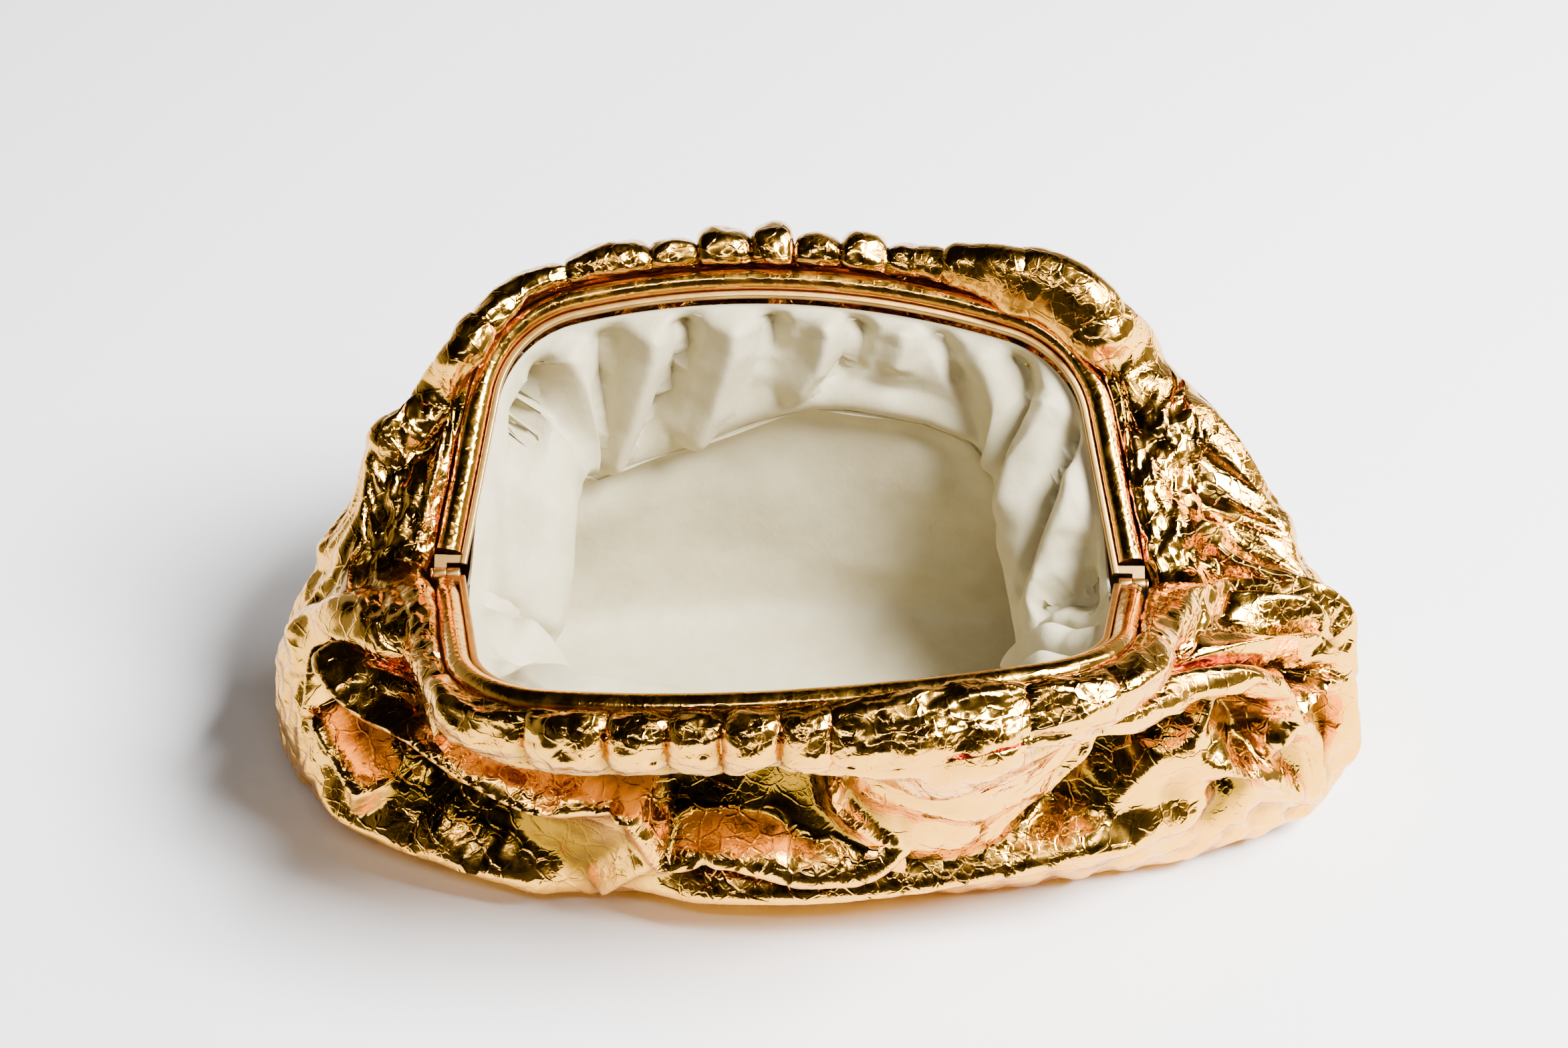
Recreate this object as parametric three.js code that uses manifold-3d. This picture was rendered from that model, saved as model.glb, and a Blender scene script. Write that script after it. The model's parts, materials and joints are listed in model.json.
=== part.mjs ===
// A large pouch bag of soft gathered leather on a hinged frame, standing on its base with its mouth held open.
// Millimetres, Z up, the front of the bag towards -Y, the origin on the floor under the middle of the bag's outline.
import * as THREE from "three";
import Module from "manifold-3d";

const wasm = await Module();
wasm.setup();
const { Manifold } = wasm;
const degree = Math.PI / 180;

// Driving sizes
const hingeSpan = 260; // between the middles of the two hinges
const hingeHeight = 94; // the hinge axis over the floor
const frameDepth = 120; // from the hinge axis to the middle of a frame bar, along that frame half
const sideLean = 9 * degree; // each side of a frame half leans in by this much
const cornerRadius = 46;
const barRadius = 320; // the bar of each half is a shallow arc
const backTilt = 34 * degree; // how far the back half stands above the horizontal
const frontTilt = 20.5 * degree;
const frameTwist = 5 * degree; // the back half drops and the front half rises by this much at the right hinge
const placeX = -9.7; // where the middle between the hinges stands, with the bag centred on its origin
const placeY = 3.9;
const bodyShift = 10; // the body's middle lies this far right of the middle between the hinges
const leatherWall = 1.6;
const liningWall = 1.2;
const gap = 0.35; // between pieces that meet
const tubeRadius = 4.7; // the leather-covered bead of the frame
const tubeOut = 1.0; // its centre lies outside the frame's centreline
const lipWidth = 2.6; // the bare metal edge inside the bead
const lipHeight = 3.4;
const knuckleRadius = 2.6;
const knuckleLength = 4.7;
const pinRadius = 1.1;
const pinHead = 2.3;
const pinHeadThick = 0.9;
const tubeStart = 9; // the bead starts this far from the hinge axis, along the frame half

// The centreline of a frame half: a straight side, a round corner and half of the bar
const barCentre = [0, frameDepth - barRadius];
const sideStep = [-Math.sin(sideLean), Math.cos(sideLean)];
const cornerStart = [
  hingeSpan / 2 - Math.cos(sideLean) * cornerRadius,
  -Math.sin(sideLean) * cornerRadius,
];
const toCentre = [cornerStart[0] - barCentre[0], cornerStart[1] - barCentre[1]];
const along = toCentre[0] * sideStep[0] + toCentre[1] * sideStep[1];
const apart = Math.hypot(...toCentre);
const sideLength = Math.sqrt(along ** 2 - apart ** 2 + (barRadius - cornerRadius) ** 2) - along;
const cornerCentre = [
  cornerStart[0] + sideStep[0] * sideLength,
  cornerStart[1] + sideStep[1] * sideLength,
];
const barAngle = Math.atan2(cornerCentre[1] - barCentre[1], cornerCentre[0] - barCentre[0]);
const cornerLength = cornerRadius * (barAngle - sideLean);
const halfLength = sideLength + cornerLength + barRadius * (Math.PI / 2 - barAngle);

const clamp = (value, low, high) => Math.min(high, Math.max(low, value));
const smooth = (value) => {
  const t = clamp(value, 0, 1);
  return t * t * (3 - 2 * t);
};
const mix = (a, b, t) => a + (b - a) * t;
const add = (p, ...steps) =>
  steps.reduce((sum, [v, k]) => sum.map((c, i) => c + v[i] * k), p);

// Point and outward direction in the plane of a frame half, at a distance s from the right hinge
function halfPath(s) {
  const onSide = s <= sideLength;
  const onCorner = !onSide && s <= sideLength + cornerLength;
  const angle = onSide
    ? sideLean
    : onCorner
      ? sideLean + (s - sideLength) / cornerRadius
      : barAngle + (s - sideLength - cornerLength) / barRadius;
  const radius = onSide || onCorner ? cornerRadius : barRadius;
  const centre = onSide
    ? [cornerStart[0] + sideStep[0] * s, cornerStart[1] + sideStep[1] * s]
    : onCorner
      ? cornerCentre
      : barCentre;
  return {
    across: centre[0] + radius * Math.cos(angle),
    reach: centre[1] + radius * Math.sin(angle),
    outX: Math.cos(angle),
    outT: Math.sin(angle),
  };
}

// The frame in space. u runs round the mouth: 0 the left hinge, 0.25 the back, 0.5 the right hinge, 0.75 the front.
// out and square: directions out from the mouth in the half's plane and square to that plane
// up: the same as square on the bars, turning upright at a hinge
function mouth(u) {
  const round = ((u % 1) + 1) % 1;
  const back = round < 0.5;
  const share = (back ? round : 1 - round) * 2;
  const right = share > 0.5;
  const s = (right ? 1 - share : share) * 2 * halfLength;
  const p = halfPath(s);
  const x = right ? p.across : -p.across;
  const twist = (frameTwist * x) / (hingeSpan / 2);
  const tilt = back ? backTilt - twist : frontTilt + twist;
  const side = back ? 1 : -1;
  const [c, n] = [Math.cos(tilt), Math.sin(tilt)];
  const upright = Math.exp(-((p.reach / 16) ** 2));
  const up = [0, mix(-side * n, 0, upright), mix(c, 1, upright)];
  const length = Math.hypot(...up);
  return {
    centre: [x, side * p.reach * c, hingeHeight + p.reach * n],
    out: [right ? p.outX : -p.outX, side * p.outT * c, p.outT * n],
    square: [0, -side * n, c],
    up: up.map((value) => value / length),
    s,
    back,
    share,
  };
}

// Gathers along each bar. at: share of the way from the left hinge to the right one where the pinch lies.
// swell: how far the puff after that pinch stands out. sag: how far it hangs. Both are shares of the rows below.
const frontGathers = [
  { at: 0.0, swell: 0.0, sag: 0.0 },
  { at: 0.07, swell: 0.3, sag: 0.1 },
  { at: 0.13, swell: 0.45, sag: 0.2 },
  { at: 0.2, swell: 0.75, sag: 0.5 },
  { at: 0.289, swell: 1.0, sag: 1.0 },
  { at: 0.355, swell: 0.95, sag: 0.9 },
  { at: 0.403, swell: 0.8, sag: 0.8 },
  { at: 0.448, swell: 1.0, sag: 1.0 },
  { at: 0.492, swell: 0.85, sag: 1.0 },
  { at: 0.531, swell: 0.8, sag: 0.9 },
  { at: 0.595, swell: 0.9, sag: 0.7 },
  { at: 0.69, swell: 0.8, sag: 0.6 },
  { at: 0.754, swell: 0.6, sag: 0.4 },
  { at: 0.82, swell: 0.4, sag: 0.2 },
  { at: 0.9, swell: 0.25, sag: 0.1 },
];
const backGathers = [
  { at: 0.0, swell: 0.0, sag: 0.0 },
  { at: 0.08, swell: 0.3, sag: 0.1 },
  { at: 0.15, swell: 0.6, sag: 0.3 },
  { at: 0.223, swell: 1.0, sag: 0.6 },
  { at: 0.297, swell: 1.3, sag: 0.8 },
  { at: 0.372, swell: 1.3, sag: 0.8 },
  { at: 0.414, swell: 1.45, sag: 1.0 },
  { at: 0.462, swell: 1.65, sag: 0.9 },
  { at: 0.5, swell: 1.5, sag: 0.8 },
  { at: 0.542, swell: 1.5, sag: 0.9 },
  { at: 0.582, swell: 1.45, sag: 0.7 },
  { at: 0.636, swell: 1.5, sag: 0.6 },
  { at: 0.702, swell: 1.3, sag: 0.4 },
  { at: 0.763, swell: 0.9, sag: 0.3 },
  { at: 0.84, swell: 0.4, sag: 0.2 },
  { at: 0.92, swell: 0.25, sag: 0.1 },
];

// The puff at a share of the way along a bar: full in its middle, a quarter at its pinches
function puff(share, gathers) {
  let i = gathers.length - 1;
  while (gathers[i].at > share) i -= 1;
  const end = i + 1 < gathers.length ? gathers[i + 1].at : 1;
  const w = (share - gathers[i].at) / (end - gathers[i].at);
  const full = 0.25 + 0.75 * Math.sin(Math.PI * clamp(w, 0, 1)) ** 0.5;
  return { swell: gathers[i].swell * full, sag: gathers[i].sag * full };
}

// The leather's rows next to the frame: millimetres out from the frame's centreline and up from its plane,
// with what a full puff adds, and the same row where it passes round a hinge. frontDown: how much lower the row
// lies at the front, where the bar stands clear of the gathers
const rimRows = [
  { out: 5.2, outPuff: 0, up: 4.5, upPuff: 0, frontDown: 0, hingeOut: 10, hingeUp: -1 },
  { out: 8.0, outPuff: 1.5, up: 4.6, upPuff: 4.2, frontDown: 2.4, hingeOut: 13, hingeUp: 2 },
  { out: 9.5, outPuff: 6.0, up: 1.5, upPuff: 4.2, frontDown: 4.6, hingeOut: 17, hingeUp: 3 },
  { out: 10, outPuff: 9.5, up: -5, upPuff: 0.5, frontDown: 0.5, hingeOut: 22, hingeUp: 2.5 },
  { out: 9.5, outPuff: 8.5, up: -12, upPuff: -3.5, frontDown: 0, hingeOut: 27, hingeUp: 0 },
  { out: 8, outPuff: 4, up: -17, upPuff: -3.5, frontDown: 0, hingeOut: 33, hingeUp: -3 },
  { out: 3.5, outPuff: 0, up: -23.5, upPuff: 0, frontDown: 0, hingeOut: 38, hingeUp: -6 },
];

// The leather's rows down the body: half length, half depth in front and behind, and the height over the floor
// in front, behind and at the two ends. rise: how much higher the row's right end is than its middle
const bodyRows = [
  { half: 187, front: 100, back: 106, zFront: 99, zBack: 131, zEnd: 83, rise: 4 },
  { half: 202, front: 96, back: 101, zFront: 72, zBack: 96, zEnd: 65, rise: 4, narrow: 0.06 },
  { half: 208, front: 95, back: 95, zFront: 38, zBack: 44, zEnd: 38, box: 0.95, narrow: 0.1 },
  { half: 206, front: 84, back: 84, zFront: 9, zBack: 9, zEnd: 10, box: 0.92, narrow: 0.13 },
  { half: 188, front: 64, back: 64, zFront: 0, zBack: 0, zEnd: 0, box: 0.92, narrow: 0.13 },
  { half: 96, front: 30, back: 30, zFront: 0, zBack: 0, zEnd: 0 },
];
const rowCount = rimRows.length + bodyRows.length;

// A point on an oval row at u, with its height blended between the ends, the front and the back
function ringPoint(u, row) {
  const a = u * 2 * Math.PI;
  const [c, s] = [Math.cos(a), Math.sin(a)];
  const back = s > 0;
  const box = row.box ?? 1; // under 1 the row is boxy
  const narrow = row.narrow ?? 0; // how much shallower the row's front is towards its right end
  return [
    bodyShift - row.half * Math.sign(c) * Math.abs(c) ** box,
    (back ? row.back : row.front * (1 + narrow * Math.min(c, 0))) * Math.sign(s) * Math.abs(s) ** box,
    mix(row.zEnd, back ? row.zBack : row.zFront, (Math.hypot(s, 0.2) - 0.2) / (Math.hypot(1, 0.2) - 0.2)) -
      (row.rise ?? 0) * c,
  ];
}

// Where the leather goes straight out from the frame instead of rolling under: all of it up to the distance
// from the hinge called full, and none of it a further fade on. In millimetres, for each quarter of the mouth
const flare = {
  backLeft: { full: 42, fade: 45 },
  backRight: { full: 50, fade: 58 },
  frontLeft: { full: 14, fade: 50 },
  frontRight: { full: 26, fade: 50 },
};

// A row of the leather's table at u
function leatherRow(u, row) {
  if (row >= rimRows.length) return ringPoint(u, bodyRows[Math.min(row, rowCount - 1) - rimRows.length]);
  const m = mouth(u);
  const { swell, sag } = puff(m.share, m.back ? backGathers : frontGathers);
  const r = rimRows[Math.max(row, 0)];
  const { full, fade } = flare[(m.back ? "back" : "front") + (m.share > 0.5 ? "Right" : "Left")];
  const near = smooth(1 - (m.s - full) / fade); // 1 near a hinge, 0 on the bars
  const sink = Math.min(r.upPuff, 0) * (sag - swell);
  const out = mix(r.out + r.outPuff * swell, r.hingeOut, near);
  const down = m.back ? 0 : r.frontDown;
  const up = mix(r.up + r.upPuff * swell + sink - down, r.hingeUp, near);
  return add(m.centre, [m.out, out], [m.up, up]);
}

// A smooth curve through four neighbours, a share t of the way from the second to the third
function between(p0, p1, p2, p3, t) {
  return p1.map(
    (value, i) =>
      value +
      0.5 * t * (p2[i] - p0[i] +
        t * (2 * p0[i] - 5 * value + 4 * p2[i] - p3[i] +
          t * (3 * value - p0[i] - 3 * p2[i] + p3[i]))),
  );
}

function plainLeather(u, v) {
  const row = Math.min(Math.floor(v), rowCount - 2);
  const near = [-1, 0, 1, 2].map((step) => leatherRow(u, clamp(row + step, 0, rowCount - 1)));
  const p = between(...near, v - row);
  return [p[0], p[1], Math.max(p[2], 0)];
}

// Main folds of the body. path: places that the fold runs through, each as u round the mouth and a row of the
// leather. high: how far it stands out, or in when it is negative. wide: its half width. Both in millimetres
const folds = [
  { high: 13, wide: 20, path: [[0.325, 2.2], [0.37, 2.4], [0.41, 5.2], [0.44, 7.2]] },
  { high: -5, wide: 9, path: [[0.36, 1.6], [0.415, 1.8], [0.445, 2.6]] },
  { high: 6, wide: 13, path: [[0.1, 1.6], [0.064, 4.4], [0.04, 6.2]] },
  { high: 12, wide: 14, path: [[0.945, 7.1], [0.878, 7.5], [0.829, 8.1], [0.8, 8.3]] },
  { high: -11, wide: 18, path: [[0.925, 7.9], [0.88, 8.3], [0.84, 8.8], [0.815, 9]] },
  { high: -6, wide: 16, path: [[0.82, 7.9], [0.79, 8], [0.76, 8.1], [0.735, 8.2]] },
  { high: 5, wide: 9, path: [[0.96, 6.9], [0.935, 8.1]] },
  { high: 6, wide: 10, path: [[0.935, 8.1], [0.91, 8.5], [0.898, 9.4], [0.833, 9.6]] },
  { high: 9, wide: 12, path: [[0.802, 8.3], [0.788, 8.8], [0.753, 8.9], [0.72, 8.7]] },
  { high: 6, wide: 11, path: [[0.8, 9.4], [0.737, 9.3], [0.7, 9.1], [0.65, 9]] },
  { high: 10, wide: 28, path: [[0.705, 5.6], [0.706, 7.2], [0.712, 8.3]] },
  { high: -12, wide: 16, path: [[0.585, 6.4], [0.647, 7.2], [0.684, 8.4]] },
  { high: 7, wide: 12, path: [[0.634, 3.4], [0.6, 2.6], [0.54, 3], [0.505, 5.1], [0.525, 7.5]] },
  { high: 7, wide: 13, path: [[0.978, 7.8], [0.971, 6.2], [0.946, 4.1]] },
  { high: 8, wide: 15, path: [[0.3, 7], [0.25, 8.2], [0.2, 8.9]] },
  { high: -6, wide: 14, path: [[0.19, 7.2], [0.14, 9.4]] },
  { high: 8, wide: 24, path: [[0.03, 7.4], [0.06, 7.2], [0.085, 6.6]] },
  { high: 6, wide: 14, path: [[0.36, 7.6], [0.41, 8.8], [0.46, 9.2]] },
];
const foldPaths = folds.map(({ path }) =>
  path.slice(1).flatMap((to, i) =>
    [0, 0.25, 0.5, 0.75, 1].map((t) => plainLeather(mix(path[i][0], to[0], t), mix(path[i][1], to[1], t))),
  ),
);

// How far the folds push the surface out where its plain form is at p, on row v
function foldHeight(p, v) {
  const fade = smooth((v - 1.2) / 1.5) * smooth((10.7 - v) / 0.8);
  if (!fade) return 0;
  let height = 0;
  folds.forEach(({ high, wide }, k) => {
    const path = foldPaths[k];
    let [nearest, place] = [Infinity, 0];
    for (let i = 0; i + 1 < path.length; i += 1) {
      const step = path[i + 1].map((value, j) => value - path[i][j]);
      const away = p.map((value, j) => value - path[i][j]);
      const square = Math.max(step[0] ** 2 + step[1] ** 2 + step[2] ** 2, 1e-9);
      const t = clamp((step[0] * away[0] + step[1] * away[1] + step[2] * away[2]) / square, 0, 1);
      const d = Math.hypot(...away.map((value, j) => value - step[j] * t));
      if (d < nearest) [nearest, place] = [d, (i + t) / (path.length - 1)];
    }
    const taper = 0.55 + 0.45 * smooth(4 * Math.min(place, 1 - place));
    if (nearest < wide) height += high * taper * (1 - nearest / wide) ** 1.4;
  });
  return height * fade;
}

// Outward direction of a surface from two small steps along it
function outward(surface, u, v, most) {
  const [du, dv] = [0.0015, 0.06];
  const [a, b] = [surface(u - du, v), surface(u + du, v)];
  const [c, d] = [surface(u, Math.max(v - dv, 0)), surface(u, Math.min(v + dv, most))];
  const along = b.map((value, i) => value - a[i]);
  const down = d.map((value, i) => value - c[i]);
  const n = [
    along[1] * down[2] - along[2] * down[1],
    along[2] * down[0] - along[0] * down[2],
    along[0] * down[1] - along[1] * down[0],
  ];
  const length = Math.hypot(...n);
  return n.map((value) => value / length);
}

function leather(u, v) {
  const p = plainLeather(u, v);
  const height = foldHeight(p, v);
  if (!height) return p;
  const q = add(p, [outward(plainLeather, u, v, rowCount - 1), height]);
  return [q[0], q[1], Math.max(q[2], 0)];
}

// A closed wall from two grids of points with the same columns. Each grid is a list of rows, and each ends in a
// middle point; the first rows are joined round the mouth
function wall(outer, inner) {
  const points = [];
  const index = [];
  const count = outer.rows[0].length;
  const lay = ({ rows, middle }, turned) => {
    const start = points.length;
    rows.forEach((row) => points.push(...row));
    points.push(middle);
    const face = (a, b, c) => index.push(a, ...(turned ? [c, b] : [b, c]));
    rows.slice(1).forEach((_, r) => {
      for (let i = 0; i < count; i += 1) {
        const [a, b] = [start + r * count + i, start + r * count + ((i + 1) % count)];
        face(a, b + count, b);
        face(a, a + count, b + count);
      }
    });
    const last = start + (rows.length - 1) * count;
    for (let i = 0; i < count; i += 1) face(last + i, points.length - 1, last + ((i + 1) % count));
    return start;
  };
  const first = lay(outer, true);
  const second = lay(inner, false);
  for (let i = 0; i < count; i += 1) {
    const next = (i + 1) % count;
    index.push(first + i, second + i, second + next);
    index.push(first + i, second + next, first + next);
  }
  return solid(points, index);
}

function solid(points, index) {
  const geometry = new THREE.BufferGeometry();
  geometry.setAttribute("position", new THREE.Float32BufferAttribute(points.flat(), 3));
  geometry.setIndex(index);
  return geometry;
}

// Columns round the mouth: each puff gets its pinch and three more
const columns = [
  ...[backGathers, frontGathers].flatMap((gathers, half) =>
    gathers.flatMap(({ at }, i) => {
      const end = i + 1 < gathers.length ? gathers[i + 1].at : 1;
      const steps = gathers[i].swell < 0.7 ? [0, 0.33, 0.67] : [0, 0.25, 0.5, 0.75];
      return steps.map((w) => {
        const share = mix(at, end, w);
        return half ? 1 - share / 2 : share / 2;
      });
    }),
  ),
].sort((a, b) => a - b).filter((u, i, all) => i === 0 || u - all[i - 1] > 1e-6).filter((u) => u < 1);

const leatherSteps = [0, 1, 2, 3, 4, 5, 6, 7, 7.6, 8.3, 9, 9.6, 10, 10.4, 11];
const leatherOuter = {
  rows: leatherSteps.map((v) => columns.map((u) => leather(u, v))),
  middle: [bodyShift, 0, 0],
};
const leatherInner = {
  rows: leatherSteps.map((v) =>
    columns.map((u) => {
      if (v > 10.9) {
        const p = leather(u, v);
        return [bodyShift + (p[0] - bodyShift) * 0.985, p[1] * 0.97, leatherWall];
      }
      const q = add(leather(u, v), [outward(leather, u, v, rowCount - 1), -leatherWall]);
      return [q[0], q[1], Math.max(q[2], leatherWall)];
    }),
  ),
  middle: [bodyShift, 0, leatherWall],
};

// The lining's rows: where it leaves the lip, the fold that hangs from it, and the rows down to the base.
// end: the same row at the sides of the mouth, where it hangs in as a curtain
const hangRows = [
  { front: -6, back: -6, drop: 3.9, end: -6, endDrop: 3.9, hinge: -11, hingeDrop: 5 },
  { front: -10, back: -11, drop: 9, end: -13, endDrop: 10, hinge: -15, hingeDrop: 11 },
  { front: -17, back: -14, drop: 20, end: -26, endDrop: 20, hinge: -26, hingeDrop: 20 },
  { front: -25, back: -13, drop: 33, end: -34, endDrop: 36, hinge: -34, hingeDrop: 34 },
  { front: -30, back: -7, drop: 42, end: -28, endDrop: 52, hinge: -30, hingeDrop: 48 },
];
const floorRows = [
  { half: 158, front: 68, back: 87, zFront: 66, zBack: 84, zEnd: 34 },
  { half: 181, front: 77, back: 85, zFront: 30, zBack: 34, zEnd: 22 },
  { half: 172, front: 64, back: 74, zFront: 6, zBack: 6, zEnd: 6 },
  { half: 90, front: 30, back: 30, zFront: 3.4, zBack: 3.4, zEnd: 3.4 },
];
const liningCount = hangRows.length + floorRows.length;
// Pleats of the fold that hangs inside the back bar, as a share of the bar's length and their depth
const pleats = [
  { at: 0.33, deep: 5, wide: 0.03 },
  { at: 0.38, deep: 6, wide: 0.025 },
  { at: 0.44, deep: 6, wide: 0.03 },
  { at: 0.55, deep: 5, wide: 0.03 },
  { at: 0.62, deep: 6, wide: 0.035 },
  { at: 0.68, deep: 6, wide: 0.03 },
];
function liningRow(u, row) {
  if (row >= hangRows.length) return ringPoint(u, floorRows[Math.min(row, liningCount - 1) - hangRows.length]);
  const m = mouth(u);
  const r = hangRows[Math.max(row, 0)];
  const side = smooth((sideLength + cornerLength + 12 - m.s) / 50);
  const pleat = m.back
    ? pleats.reduce((sum, p) => sum + p.deep * Math.exp(-(((m.share - p.at) / p.wide) ** 2)), 0)
    : 0;
  const hang = Math.min(row / 2, 1);
  const atHinge = smooth(1 - m.s / 30);
  const out = mix(mix(m.back ? r.back : r.front, r.end, side), r.hinge, atHinge) + pleat * hang * 0.8;
  const drop = mix(mix(r.drop, r.endDrop, side), r.hingeDrop, atHinge);
  return add(m.centre, [m.out, out], [[0, 0, 1], -drop]);
}
function lining(u, v) {
  const row = Math.min(Math.floor(v), liningCount - 2);
  const near = [-1, 0, 1, 2].map((step) => liningRow(u, clamp(row + step, 0, liningCount - 1)));
  const p = between(...near, v - row);
  return [p[0], p[1], Math.max(p[2], 3.4)];
}
const liningSteps = [0, 1, 2, 3, 3.6, 4.3, 5, 5.5, 6, 6.6, 7, 8];
const liningColumns = Array.from({ length: 60 }, (_, i) => i / 60);
const liningInner = {
  rows: liningSteps.map((v) => liningColumns.map((u) => lining(u, v))),
  middle: [bodyShift, 0, 3.4],
};
const liningOuter = {
  rows: liningSteps.map((v) =>
    liningColumns.map((u) => {
      const q = add(lining(u, v), [outward(lining, u, v, liningCount - 1), liningWall]);
      return [q[0], q[1], v > 7.5 ? 3.4 - liningWall : Math.max(q[2], 3.4 - liningWall)];
    }),
  ),
  middle: [bodyShift, 0, 3.4 - liningWall],
};

// A closed sweep along a frame half. section: the offsets out and up at a share of the way along it
function sweep(half, shares, section) {
  const points = [];
  const index = [];
  shares.forEach((share) => {
    const m = mouth(half === "back" ? share / 2 : 1 - share / 2);
    section(m).forEach(([out, up]) => points.push(add(m.centre, [m.out, out], [m.square, up])));
  });
  const count = points.length / shares.length;
  const turned = half === "back";
  const face = (a, b, c) => index.push(a, ...(turned ? [c, b] : [b, c]));
  for (let r = 0; r + 1 < shares.length; r += 1) {
    for (let i = 0; i < count; i += 1) {
      const [a, b] = [r * count + i, r * count + ((i + 1) % count)];
      face(a, b + count, b);
      face(a, a + count, b + count);
    }
  }
  const last = (shares.length - 1) * count;
  for (let i = 1; i + 1 < count; i += 1) {
    face(0, i, i + 1);
    face(last, last + i + 1, last + i);
  }
  return solid(points, index);
}

// Even steps along a half that start a distance from both hinges
function stations(from, count) {
  const first = from / 2 / halfLength;
  return Array.from({ length: count }, (_, i) => mix(first, 1 - first, i / (count - 1)));
}

const tubeSides = 9;
const beadSection = (taper) => (m) => {
  const slim = taper ? mix(0.72, 1, smooth((m.s - tubeStart) / 14)) : 1;
  return Array.from({ length: tubeSides }, (_, i) => {
    const a = (i / tubeSides) * 2 * Math.PI;
    return [tubeOut + tubeRadius * slim * Math.cos(a), tubeRadius * slim * Math.sin(a)];
  });
};
const lipIn = tubeOut - tubeRadius - gap - lipWidth;
const lipSection = () => [
  [lipIn, lipHeight / 2],
  [lipIn + lipWidth, lipHeight / 2],
  [lipIn + lipWidth, -lipHeight / 2],
  [lipIn, -lipHeight / 2],
].reverse();

const toManifold = (geometry) =>
  new Manifold(
    new wasm.Mesh({
      numProp: 3,
      vertProperties: new Float32Array(geometry.attributes.position.array),
      triVerts: new Uint32Array(geometry.index.array),
    }),
  );
const fromManifold = (made) => {
  const mesh = made.getMesh();
  const geometry = new THREE.BufferGeometry();
  const positions = new Float32Array(mesh.numVert * 3);
  for (let i = 0; i < mesh.numVert; i += 1)
    positions.set(mesh.vertProperties.subarray(i * mesh.numProp, i * mesh.numProp + 3), i * 3);
  geometry.setAttribute("position", new THREE.BufferAttribute(positions, 3));
  geometry.setIndex(new THREE.BufferAttribute(new Uint32Array(mesh.triVerts), 1));
  return geometry;
};

// A rod along X from one place to another, on the hinge axis
const rod = (from, to, radius) =>
  Manifold.cylinder(Math.abs(to - from), radius, radius, 14)
    .rotate([0, 90, 0])
    .translate([Math.min(from, to), 0, hingeHeight]);

// The metal of one frame half: the lip that shows, and at each end a leaf with its hinge knuckle
function metal(half) {
  let made = toManifold(sweep(half, stations(5, 34), lipSection));
  const back = half === "back";
  for (const side of [-1, 1]) {
    const x = (side * hingeSpan) / 2;
    const twist = frameTwist * side;
    const tilt = back ? backTilt - twist : Math.PI - frontTilt - twist;
    const outer = back ? knuckleLength + gap / 2 : -gap / 2;
    const from = x + side * (outer - knuckleLength);
    const to = x + side * outer;
    const box = (x0, x1, y0, y1, z) =>
      Manifold.cube([Math.abs(x1 - x0), y1 - y0, 2 * z])
        .translate([Math.min(x0, x1), y0, -z])
        .rotate([tilt / degree, 0, 0])
        .translate([0, 0, hingeHeight]);
    const leaf = box(from, to, 0, tubeStart - 1.6, 0.8);
    const cross = box(to, x + side * (lipIn + 0.6), tubeStart - 4.6, tubeStart - 1.6, 0.8);
    const bore = rod(x - side * 12, x + side * 12, pinRadius + 0.3);
    made = made.add(leaf).add(cross).add(rod(from, to, knuckleRadius)).subtract(bore);
  }
  return fromManifold(made);
}
function pin(side) {
  const x = (side * hingeSpan) / 2;
  const end = knuckleLength + gap;
  return fromManifold(
    rod(x - side * end, x + side * (end + 0.2), pinRadius).add(
      rod(x + side * (end + 0.1), x + side * (end + 0.1 + pinHeadThick), pinHead),
    ),
  );
}

const gold = new THREE.MeshStandardMaterial({ color: 0xd9a066, metalness: 0.9, roughness: 0.25 });
const cream = new THREE.MeshStandardMaterial({ color: 0xe6e0d2, roughness: 0.7 });
const gilt = new THREE.MeshStandardMaterial({ color: 0xcfae84, metalness: 1, roughness: 0.3 });

const group = new THREE.Group();
const pieces = [
  ["pouch_body", wall(leatherOuter, leatherInner), gold],
  ["lining", wall(liningOuter, liningInner), cream],
  ["frame_bar_back", sweep("back", stations(tubeStart, 34), beadSection(false)), gold],
  ["frame_bar_front", sweep("front", stations(tubeStart, 34), beadSection(true)), gold],
  ["frame_metal_back", metal("back"), gilt],
  ["frame_metal_front", metal("front"), gilt],
  ["hinge_pin_left", pin(-1), gilt],
  ["hinge_pin_right", pin(1), gilt],
];
for (const [name, geometry, material] of pieces) {
  geometry.translate(placeX, placeY, 0);
  const mesh = new THREE.Mesh(geometry, material);
  mesh.name = name;
  group.add(mesh);
}

export default group;
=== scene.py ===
import json
import math

import bpy
import numpy as np
from mathutils import Matrix, Vector
from mathutils.bvhtree import BVHTree

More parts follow.
